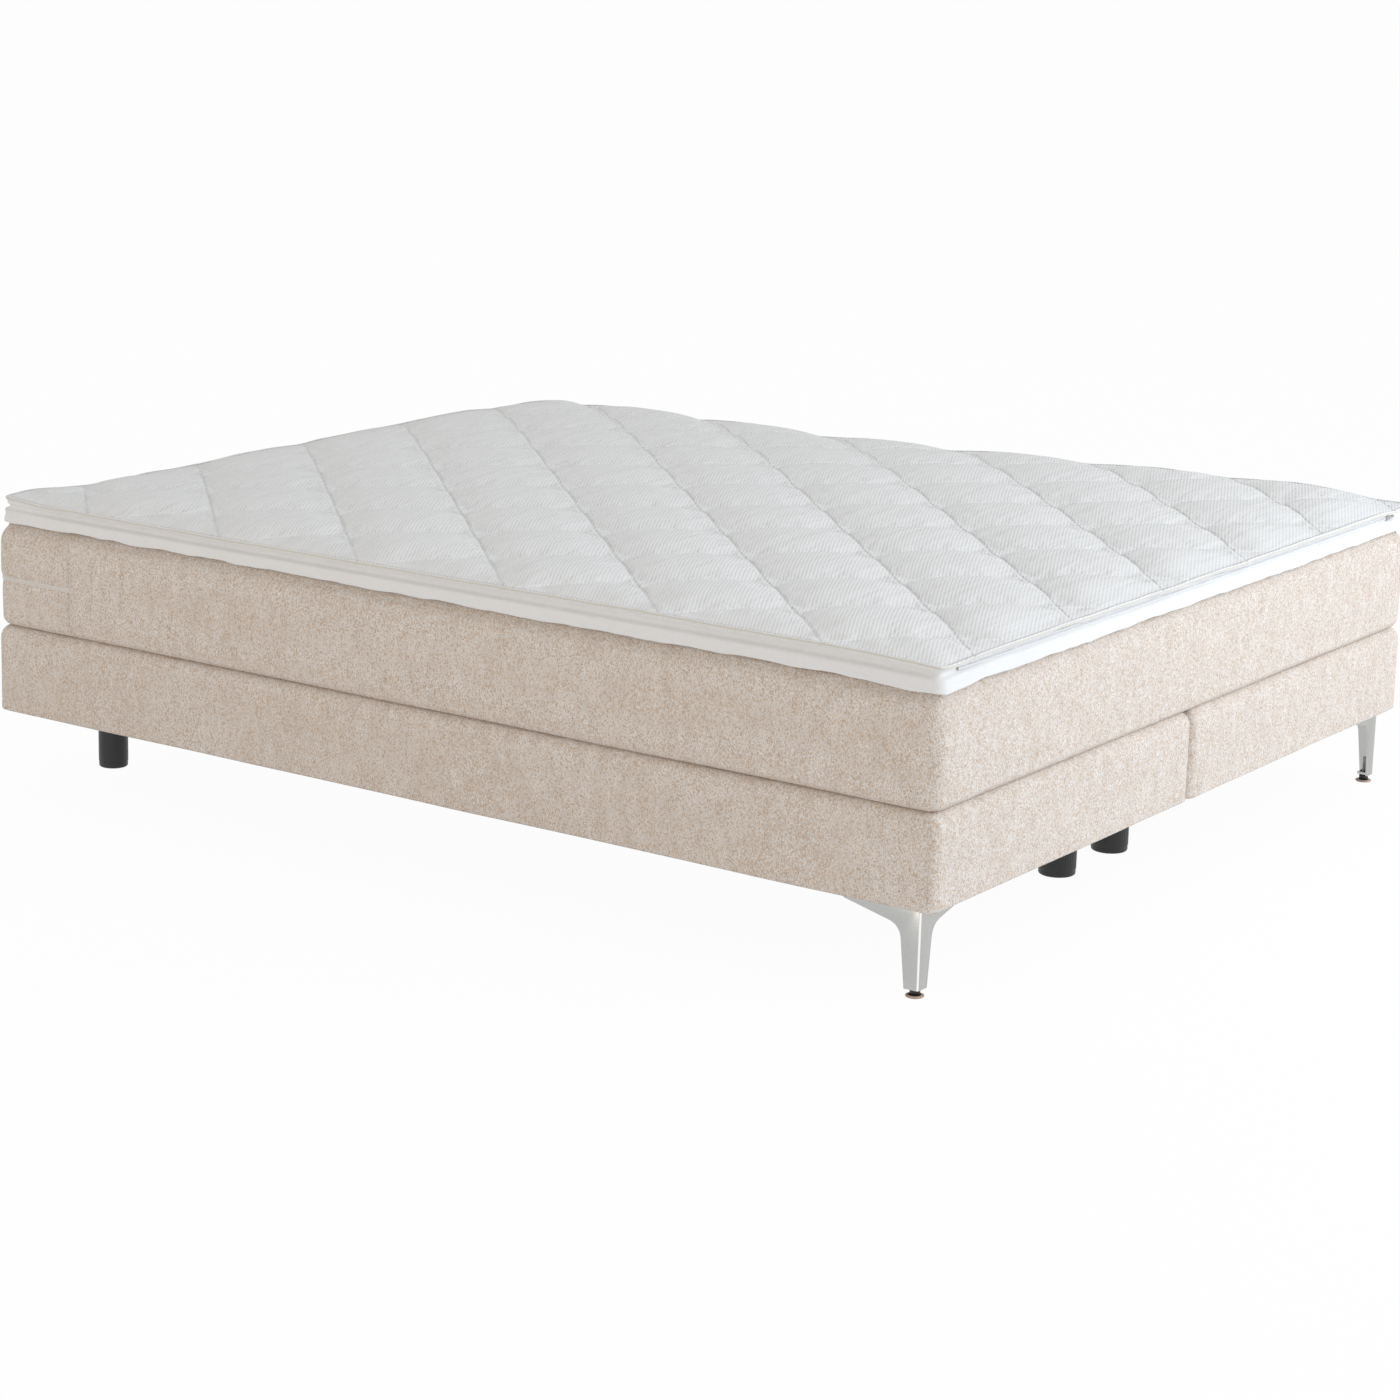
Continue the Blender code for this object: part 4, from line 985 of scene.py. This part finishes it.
def pulled(x, y):
    """The topper lies drawn in a little on its far side and at its head end."""
    across, along = bed_share(x, y)
    tip = fade(from_head_corner(x, y) / 0.20)
    return (x - far_pull * rise(along, 0.20, 0.60) * rise(across, 0.55, 1.0) + 0.006 * tip,
            y - head_pull * rise(along, 0.90, 1.0) - 0.011 * tip)


def draw_in(bm):
    for vert in bm.verts:
        vert.co.x, vert.co.y = pulled(vert.co.x, vert.co.y)


def stitch_gap(x, y):
    """Distance to the nearest stitch line of either family."""
    rising = (y - x - rising_start) / rising_pitch
    falling = (y + x - falling_start) / falling_pitch
    return min(abs(rising - round(rising)) * rising_pitch * diagonal,
               abs(falling - round(falling)) * falling_pitch * diagonal)


def crossing(x, y):
    """One where two stitch lines cross, falling to nought away from them."""
    rising = 0.5 + 0.5 * math.cos(2 * math.pi * (y - x - rising_start) / rising_pitch)
    falling = 0.5 + 0.5 * math.cos(2 * math.pi * (y + x - falling_start) / falling_pitch)
    return (rising * falling) ** 1.5


def gather(place, pitch):
    """Draw the rows of a grid closer together towards every stitch line."""
    return place - row_gather * pitch * math.sin(2 * math.pi * place / pitch) / (2 * math.pi)


def panel_grid(half):
    """A grid turned to run along both families of stitch lines, cut to the panel."""
    pitches = rising_pitch * diagonal, falling_pitch * diagonal
    cells = [pitch / round(pitch / panel_cell) for pitch in pitches]
    reach = (half[0] + half[1]) * diagonal + 0.25
    across, along = (math.ceil(reach / cell) for cell in cells)
    bm = bmesh.new()
    bmesh.ops.create_grid(bm, x_segments=2 * across, y_segments=2 * along, size=1)
    bmesh.ops.scale(bm, verts=bm.verts[:], vec=(across * cells[0], along * cells[1], 1))
    for vert in bm.verts:
        first = gather(vert.co.x, pitches[0]) + rising_start * diagonal
        second = gather(vert.co.y, pitches[1]) + falling_start * diagonal
        vert.co = ((second - first) * diagonal, (first + second) * diagonal, 0)
    for side in (-1, 1):
        for place, normal in (((side * half[0], 0, 0), (side, 0, 0)), ((0, side * half[1], 0), (0, side, 0))):
            bmesh.ops.bisect_plane(bm, geom=bm.verts[:] + bm.edges[:] + bm.faces[:], plane_co=place,
                                   plane_no=normal, clear_outer=True, dist=0.0012)
    bmesh.ops.reverse_faces(bm, faces=bm.faces[:])
    for vert in bm.verts:
        edge = panel_edge(vert, half)
        corner = max(topper_corner - edge, 0.0)
        vert.co.x, vert.co.y = round_plan(vert.co.x, vert.co.y, half, edge, edge, corner)
    return bm


def panel_edge(vert, half):
    """How far inside the panel's outline a place lies."""
    return min(half[0] - abs(vert.co.x), half[1] - abs(vert.co.y))


def on_stitches(vert, half, reach):
    return stitch_gap(vert.co.x, vert.co.y) < reach and panel_edge(vert, half) > stitch_end


def blow_up(bm, half, puff):
    """Fill the quilting by cloth simulation, held at the stitch lines and round the seam."""
    mesh = mesh_from("panel", bm)
    panel = put("panel", mesh)
    held = panel.vertex_groups.new(name="held")
    bm.verts.ensure_lookup_table()
    keep = [vert.index for vert in bm.verts if vert.is_boundary or on_stitches(vert, half, 0.002)]
    held.add(keep, 1.0, "REPLACE")
    cloth = panel.modifiers.new("cloth", "CLOTH")
    values = cloth.settings
    values.quality = 5
    values.mass = 0.2
    values.tension_stiffness = values.compression_stiffness = 12
    values.shear_stiffness = 3
    values.bending_stiffness = 0.12
    values.tension_damping = values.compression_damping = values.shear_damping = 5
    values.bending_damping = 0.5
    values.vertex_group_mass = "held"
    values.pin_stiffness = 1
    values.use_pressure = True
    values.uniform_pressure_force = 1.1
    values.shrink_min = -0.012
    values.effector_weights.gravity = 0
    cloth.collision_settings.use_collision = False
    scene = bpy.context.scene
    for number in range(simulated_frames):
        scene.frame_set(number + 1)
    graph = bpy.context.evaluated_depsgraph_get()
    blown = panel.evaluated_get(graph).to_mesh()
    for vert, result in zip(bm.verts, blown.vertices):
        move = result.co - vert.co
        if move.length > 2.2 * puff:
            move *= 2.2 * puff / move.length
        vert.co += move
    panel.evaluated_get(graph).to_mesh_clear()
    scene.frame_set(1)
    bpy.data.objects.remove(panel, do_unlink=True)
    bpy.data.meshes.remove(mesh)


def crease_stitches(bm, half):
    """Keep the stitch lines sharp when the panel is smoothed."""
    crease = bm.edges.layers.float.new("crease_edge")
    for edge in bm.edges:
        if all(on_stitches(vert, half, 0.001) for vert in edge.verts):
            edge[crease] = 0.9


def add_bead(bm, half, level):
    """Turn the panel's rim over a bead, and close the underside. The strip under the bead takes the accent:
    painted shade of the groove.
    """
    rim = [edge for edge in bm.edges if edge.is_boundary]
    steps = ((-0.0014, 0.0018), (-0.0026, 0.0004), (-0.0024, -0.0018), (-0.0004, -0.0032), (0.0018, -0.0024),
             (0.0040, -0.0012), (0.0090, -0.0006), (0.12, 0.0), (0.20, 0.0), (0.20, 0.0), (0.20, 0.0))
    # The fourth strip turned over, under the bead, gets the tan accent: painted shade of the groove.
    groove_shade_strip, waving = 3, 7
    for number, (inset, climb) in enumerate(steps):
        found = bmesh.ops.extrude_edge_only(bm, edges=rim)["geom"]
        rim = [item for item in found if isinstance(item, bmesh.types.BMEdge)]
        for item in found:
            if isinstance(item, bmesh.types.BMFace):
                item.material_index = int(number == groove_shade_strip)
        level += climb
        for vert in {vert for edge in rim for vert in edge.verts}:
            x, y = vert.co.x * (1 - inset / half[0]), vert.co.y * (1 - inset / half[1])
            wave = noise.noise(Vector((x, y, 0)) / 0.085) if number < waving else 0.0
            vert.co = (x, y, level + 0.0022 * wave - slump(x, y) - foot_fall(y))
    bmesh.ops.triangulate(bm, faces=bmesh.ops.holes_fill(bm, edges=rim, sides=0)["faces"])


def build_quilted_panel(topper):
    """The quilted top: simulated cushions, a bead round the rim, and the stitches of its seam."""
    low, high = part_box("topper_quilted_top")
    half = (high.x - low.x) / 2 - topper_bead, (high.y - low.y) / 2 - topper_bead
    bm = panel_grid(half)
    crease_stitches(bm, half)
    (blow_up)(bm, half, topper.puff)
    line_level = high.z - topper.stitch_drop
    for vert in bm.verts:
        x, y = vert.co.x, vert.co.y
        inner = math.sin(quarter * clamp(panel_edge(vert, half) / edge_curve))
        loose = noise.noise(Vector((x / 0.55, y / 0.045, 0.3)))
        loose += 0.6 * noise.noise(Vector((x / 0.3, y / 0.09, 4.1)))
        far = min(max((x + 0.5) / 1.2, 0.15), 1.0)
        full = 1.2 - 0.6 * rise(sum(bed_share(x, y)), 0.5, 1.6)
        lift = topper.crossing_depth * (1 - crossing(x, y)) * inner
        level = line_level - topper.edge_drop * (1 - inner)
        vert.co.z = vert.co.z * full + level + lift + topper.wrinkle * loose * far * inner
        vert.co.z -= slump(x, y) + foot_fall(y)
    add_bead(bm, half, line_level - topper.edge_drop)
    draw_in(bm)
    face_outwards(bm)
    # The accent finish paints the shade of the groove under the bead.
    panel = add_piece("topper_quilted_panel", bm, "knit", "topper", ["topper_quilted_top"],
                      accent="painted_groove_shade")
    smooth_out(panel)
    seam = bmesh.new()
    level = line_level - topper.edge_drop + 0.0010
    for x, y, turn in ring_path(low, high, topper_bead, topper_corner, 0.0072):
        wave = 0.0011 * noise.noise(Vector((x, y, 0)) / 0.085)
        fall = slump(x, y) + foot_fall(y)
        add_bars(seam, [(*pulled(x, y), turn)], level + wave - fall, 0.0044, 0.0009, 0.0012)
    add_piece("topper_seam_stitches", seam, "thread", "topper", sharp=40)


def build_topper_border(topper):
    """The drawn-in border: a waving flange, the zip's groove, and a band up to the rolled seam."""
    low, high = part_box("topper_border")
    profile = [(0.0100, -0.0036), (0.0000, -0.0048), (-0.0046, -0.0048), (-0.0064, -0.0032), (-0.0058, 0.0006),
               (-0.0040, 0.0045), (-0.0034, 0.0100), (-0.0032, 0.0150), (-0.0014, 0.0185), (0.0030, 0.0198),
               (0.0078, 0.0212), (0.0092, 0.0250), (0.0085, 0.0292), (0.0050, 0.0310), (0.0036, 0.0335),
               (0.0040, 0.0365), (0.0070, 0.0385)]
    flange = 8
    bm = band(profile, low, high, topper_corner, 0.010)
    index_of = {height: index for index, (_, height) in enumerate(profile)}
    for vert in bm.verts:
        height = min(index_of, key=lambda item: abs(item - vert.co.z))
        index = index_of[height]
        share = clamp(height / profile[-1][1])
        x, y = vert.co.x / high.x, vert.co.y / high.y
        out = (Vector((x, 0, 0)) if abs(x) > abs(y) else Vector((0, y, 0))).normalized()
        vert.co.z += low.z
        place = vert.co.copy()
        loose = noise.noise(place / 0.090) + 0.5 * noise.noise(place / 0.030 + Vector((3, 1, 7)))
        tip = from_head_corner(place.x, place.y)
        if index < flange:
            hang = 1 - index / flange
            vert.co += out * topper.flange_wave * 0.55 * noise.noise(place / 0.060 + Vector((5, 2, 1))) * hang
            vert.co += out * 0.009 * fade(tip / 0.14)
            vert.co.z += topper.flange_wave * loose * min(1.0, 1.5 * hang)
        else:
            ripple = 0.0008 * noise.noise(place / 0.07 + Vector((9, 2, 2)))
            vert.co += out * (ripple + 0.0145 * fade(tip / 0.20))
        corner = from_foot_corner(place.x, place.y)
        vert.co.z -= slump(place.x, place.y) * share + 0.006 * fade(corner / 0.22) * (1 - share)
        vert.co.z -= foot_fall(place.y) * max(0.0, (height - 0.030) / 0.0085)
    draw_in(bm)
    border = add_piece("topper_border_band", bm, "plain_knit", "topper", ["topper_border"])
    add_wall(border, 0.0022)
    smooth_out(border)


def build_topper_core():
    low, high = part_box("topper_core")
    spare, tuck = Vector((0.004, 0.004, 0)), Vector((0.007, 0.007, 0))
    bm = block(low + spare, high - spare, 0.05, topper_corner, 0.012, 0.004)
    for vert in bm.verts:
        share = (vert.co.z - low.z) / (high.z - low.z)
        fall = slump(vert.co.x, vert.co.y) + foot_fall(vert.co.y) + 0.0045
        vert.co.z -= min(fall, 0.034) * share
    draw_in(bm)
    add_piece("topper_foam_core", bm, "foam", "topper", ["topper_core"])
    bm = block(topper_low + tuck, topper_high - tuck, 0.05, topper_corner, 0.002, 0.002)
    draw_in(bm)
    add_piece("topper_under_panel", bm, "plain_knit", "topper", ["topper_base_panel"])


def build_topper_zip():
    low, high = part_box("topper_zip_tape")
    bm = lattice(places(low.x, high.x, 0.012), [low.y, high.y], places(low.z, high.z, 0.0015))
    for vert in bm.verts:
        vert.co.y += 0.0003 * noise.noise(vert.co / 0.02)
    add_piece("topper_zip_band", bm, "white_tape", "topper", ["topper_zip_tape"], sharp=40)
    count = round((high.x - low.x) / zip_tooth_pitch)
    path = [(low.x + (high.x - low.x) * (index + 0.5) / count, low.y - 0.0003, -quarter)
            for index in range(count)]
    add_teeth("topper_zip_teeth", path, (low.z + high.z) / 2, 0.0008, "white_tape", "topper")
    add_slider("topper_zip_puller", "topper_zip_slider", "topper_slider", -1)


# Stage

def seen_by(nodes, *rays):
    """One for the kinds of ray that are named."""
    path = nodes.add("LightPath").outputs
    seen = path[f"Is {rays[0]} Ray"]
    for ray in rays[1:]:
        seen = nodes.maths("MAXIMUM", seen, path[f"Is {ray} Ray"])
    return seen


def build_sky(stage):
    """An even sky that looks white and lights the bed a little less."""
    world = bpy.data.worlds.new("studio")
    bpy.context.scene.world = world
    world.use_nodes = True
    nodes = Shading(world.node_tree)
    inputs = {"Value": seen_by(nodes, "Camera", "Glossy", "Transmission"), "To Min": stage.sky, "To Max": 1.0}
    backdrop = nodes.tree.nodes["Background"]
    backdrop.inputs["Color"].default_value = (1, 1, 1, 1)
    nodes.tree.links.new(nodes.value("MapRange", inputs), backdrop.inputs["Strength"])


def build_floor(stage):
    """A pale floor that nearly meets the white background and keeps the bed's shadow."""
    bm = bmesh.new()
    bmesh.ops.create_grid(bm, x_segments=1, y_segments=1, size=30)
    mesh = mesh_from("floor", bm)
    bm.free()
    material = bpy.data.materials.new("pale_floor")
    material.use_nodes = True
    nodes = Shading(material.node_tree)
    nodes.tree.nodes.remove(nodes.tree.nodes["Principled BSDF"])
    glow = nodes.maths("MULTIPLY", seen_by(nodes, "Camera", "Glossy"), 0.965)
    matt = nodes.value("BsdfDiffuse", {"Color": (*stage.floor_colour, 1.0)})
    shine = nodes.value("Emission", {"Color": (1, 1, 1, 1), "Strength": 1.0})
    both = nodes.value("MixShader", {0: glow, 1: matt, 2: shine})
    nodes.tree.links.new(both, nodes.tree.nodes["Material Output"].inputs["Surface"])
    mesh.materials.append(material)
    put("floor", mesh)


def build_lamps(stage):
    lamps = (("soft_lamp", (1.0, -4.0, 2.1), (0.0, -1.0, 0.35), (3.4, 2.4),
              stage.lamp_power, stage.lamp_colour),
             ("fill_lamp", (-5.5, 0.6, 0.9), (-0.9, 0.3, 0.30), (4.5, 1.2),
              stage.fill_power, stage.fill_colour))
    for name, place, aim, size, power, colour in lamps:
        lamp = bpy.data.lights.new(name, "AREA")
        lamp.shape = "RECTANGLE"
        lamp.size, lamp.size_y = size
        lamp.energy = power
        lamp.color = colour
        holder = put(name, lamp)
        holder.location = place
        holder.rotation_euler = (Vector(aim) - Vector(place)).to_track_quat("-Z", "Y").to_euler()


def build_camera(stage):
    """The camera that was fitted to the photograph."""
    camera = bpy.data.cameras.new("camera")
    camera.lens = stage.focal_length
    camera.sensor_width = 36.0
    camera.clip_end = 100.0
    eye = put("camera", camera)
    turn, tilt, roll = math.radians(55.77), math.radians(14.08), math.radians(-1.52)
    ahead = Vector((math.sin(turn) * math.cos(tilt), math.cos(turn) * math.cos(tilt), -math.sin(tilt)))
    right = Vector((math.cos(turn), -math.sin(turn), 0.0))
    down = ahead.cross(right)
    level_right = right * math.cos(roll) + down * math.sin(roll)
    level_down = down * math.cos(roll) - right * math.sin(roll)
    eye.matrix_world = Matrix.Translation((-5.824, -3.935, 1.932)) @ Matrix(
        (level_right, -level_down, -ahead)).transposed().to_4x4()
    bpy.context.scene.camera = eye


def build_stage(stage):
    """A pale floor, an even sky, two soft lamps and the camera."""
    build_sky(stage)
    build_floor(stage)
    build_lamps(stage)
    build_camera(stage)
    bpy.context.scene.view_settings.view_transform = "Standard"


# Operators

class BED_OT_stage(bpy.types.Operator):
    """Set up the floor, the light and the camera"""
    bl_idname = "bed.stage"
    bl_label = "Stage"

    def execute(self, context):
        build_stage(context.scene.bed_stage)
        return {"FINISHED"}


class BED_OT_base_covers(bpy.types.Operator):
    """Upholster both bases"""
    bl_idname = "bed.base_covers"
    bl_label = "Base covers"

    def execute(self, context):
        build_base_covers(context.scene.bed_fabric)
        return {"FINISHED"}


class BED_OT_base_filling(bpy.types.Operator):
    """Fill both bases with pocket springs and foam"""
    bl_idname = "bed.base_filling"
    bl_label = "Base filling"

    def execute(self, context):
        build_base_filling()
        return {"FINISHED"}


class BED_OT_base_frame(bpy.types.Operator):
    """Give the boards of both frames their wood"""
    bl_idname = "bed.base_frame"
    bl_label = "Base frames"

    def execute(self, context):
        build_base_frame()
        return {"FINISHED"}


class BED_OT_dust_covers(bpy.types.Operator):
    """Stretch the dust covers under both bases"""
    bl_idname = "bed.dust_covers"
    bl_label = "Dust covers"

    def execute(self, context):
        build_dust_covers()
        return {"FINISHED"}


class BED_OT_black_legs(bpy.types.Operator):
    """Turn the round black legs"""
    bl_idname = "bed.black_legs"
    bl_label = "Round legs"

    def execute(self, context):
        build_black_legs()
        return {"FINISHED"}


class BED_OT_corner_legs(bpy.types.Operator):
    """Finish the cast corner legs"""
    bl_idname = "bed.corner_legs"
    bl_label = "Corner legs"

    def execute(self, context):
        build_corner_legs(context.scene.bed_legs)
        return {"FINISHED"}


class BED_OT_levelling_feet(bpy.types.Operator):
    """Turn the levelling studs and their pads"""
    bl_idname = "bed.levelling_feet"
    bl_label = "Levelling feet"

    def execute(self, context):
        build_levelling_feet()
        return {"FINISHED"}


class BED_OT_hardware(bpy.types.Operator):
    """Finish the coupling straps and the screws"""
    bl_idname = "bed.hardware"
    bl_label = "Straps and screws"

    def execute(self, context):
        build_hardware()
        return {"FINISHED"}


class BED_OT_mattress_cover(bpy.types.Operator):
    """Sew the mattress cover"""
    bl_idname = "bed.mattress_cover"
    bl_label = "Mattress cover"

    def execute(self, context):
        build_mattress_cover(context.scene.bed_fabric)
        return {"FINISHED"}


class BED_OT_mattress_filling(bpy.types.Operator):
    """Fill the mattress with foam and pocket springs"""
    bl_idname = "bed.mattress_filling"
    bl_label = "Mattress filling"

    def execute(self, context):
        build_mattress_filling()
        return {"FINISHED"}


class BED_OT_mattress_zip(bpy.types.Operator):
    """Set the zip into the mattress cover"""
    bl_idname = "bed.mattress_zip"
    bl_label = "Mattress zip"

    def execute(self, context):
        build_mattress_zip()
        return {"FINISHED"}


class BED_OT_quilted_panel(bpy.types.Operator):
    """Quilt the top of the topper"""
    bl_idname = "bed.quilted_panel"
    bl_label = "Quilted panel"

    def execute(self, context):
        build_quilted_panel(context.scene.bed_topper)
        return {"FINISHED"}


class BED_OT_topper_border(bpy.types.Operator):
    """Sew the border of the topper"""
    bl_idname = "bed.topper_border"
    bl_label = "Topper border"

    def execute(self, context):
        build_topper_border(context.scene.bed_topper)
        return {"FINISHED"}


class BED_OT_topper_core(bpy.types.Operator):
    """Put the foam core on its base panel"""
    bl_idname = "bed.topper_core"
    bl_label = "Topper core"

    def execute(self, context):
        build_topper_core()
        return {"FINISHED"}


class BED_OT_topper_zip(bpy.types.Operator):
    """Set the zip into the topper's border"""
    bl_idname = "bed.topper_zip"
    bl_label = "Topper zip"

    def execute(self, context):
        build_topper_zip()
        return {"FINISHED"}


operators = (BED_OT_stage, BED_OT_base_covers, BED_OT_base_filling, BED_OT_base_frame, BED_OT_dust_covers,
             BED_OT_black_legs, BED_OT_corner_legs, BED_OT_levelling_feet, BED_OT_hardware,
             BED_OT_mattress_cover, BED_OT_mattress_filling, BED_OT_mattress_zip, BED_OT_quilted_panel,
             BED_OT_topper_border, BED_OT_topper_core, BED_OT_topper_zip)
setting_groups = {
    "bed_fabric": BedFabricSettings,
    "bed_topper": BedTopperSettings,
    "bed_legs": BedLegSettings,
    "bed_stage": BedStageSettings,
}


class BED_PT_sidebar(bpy.types.Panel):
    """Lists the bed's settings and its pieces"""
    bl_idname = "BED_PT_sidebar"
    bl_label = "Box Spring Bed"
    bl_space_type = "VIEW_3D"
    bl_region_type = "UI"
    bl_category = "Bed"

    def draw(self, context):
        for name, group in setting_groups.items():
            box = self.layout.box()
            for field in group.__annotations__:
                box.prop(getattr(context.scene, name), field)
        for operator in operators:
            self.layout.operator(operator.bl_idname)


def register():
    for group in (*setting_groups.values(), *operators, BED_PT_sidebar):
        bpy.utils.register_class(group)
    for name, group in setting_groups.items():
        setattr(bpy.types.Scene, name, PointerProperty(type=group))


def unregister():
    for name in setting_groups:
        delattr(bpy.types.Scene, name)
    for group in (BED_PT_sidebar, *reversed(operators), *setting_groups.values()):
        bpy.utils.unregister_class(group)


def main():
    register()
    for operator in operators:
        group, action = operator.bl_idname.split(".")
        getattr(getattr(bpy.ops, group), action)()


if __name__ == "__main__":
    main()
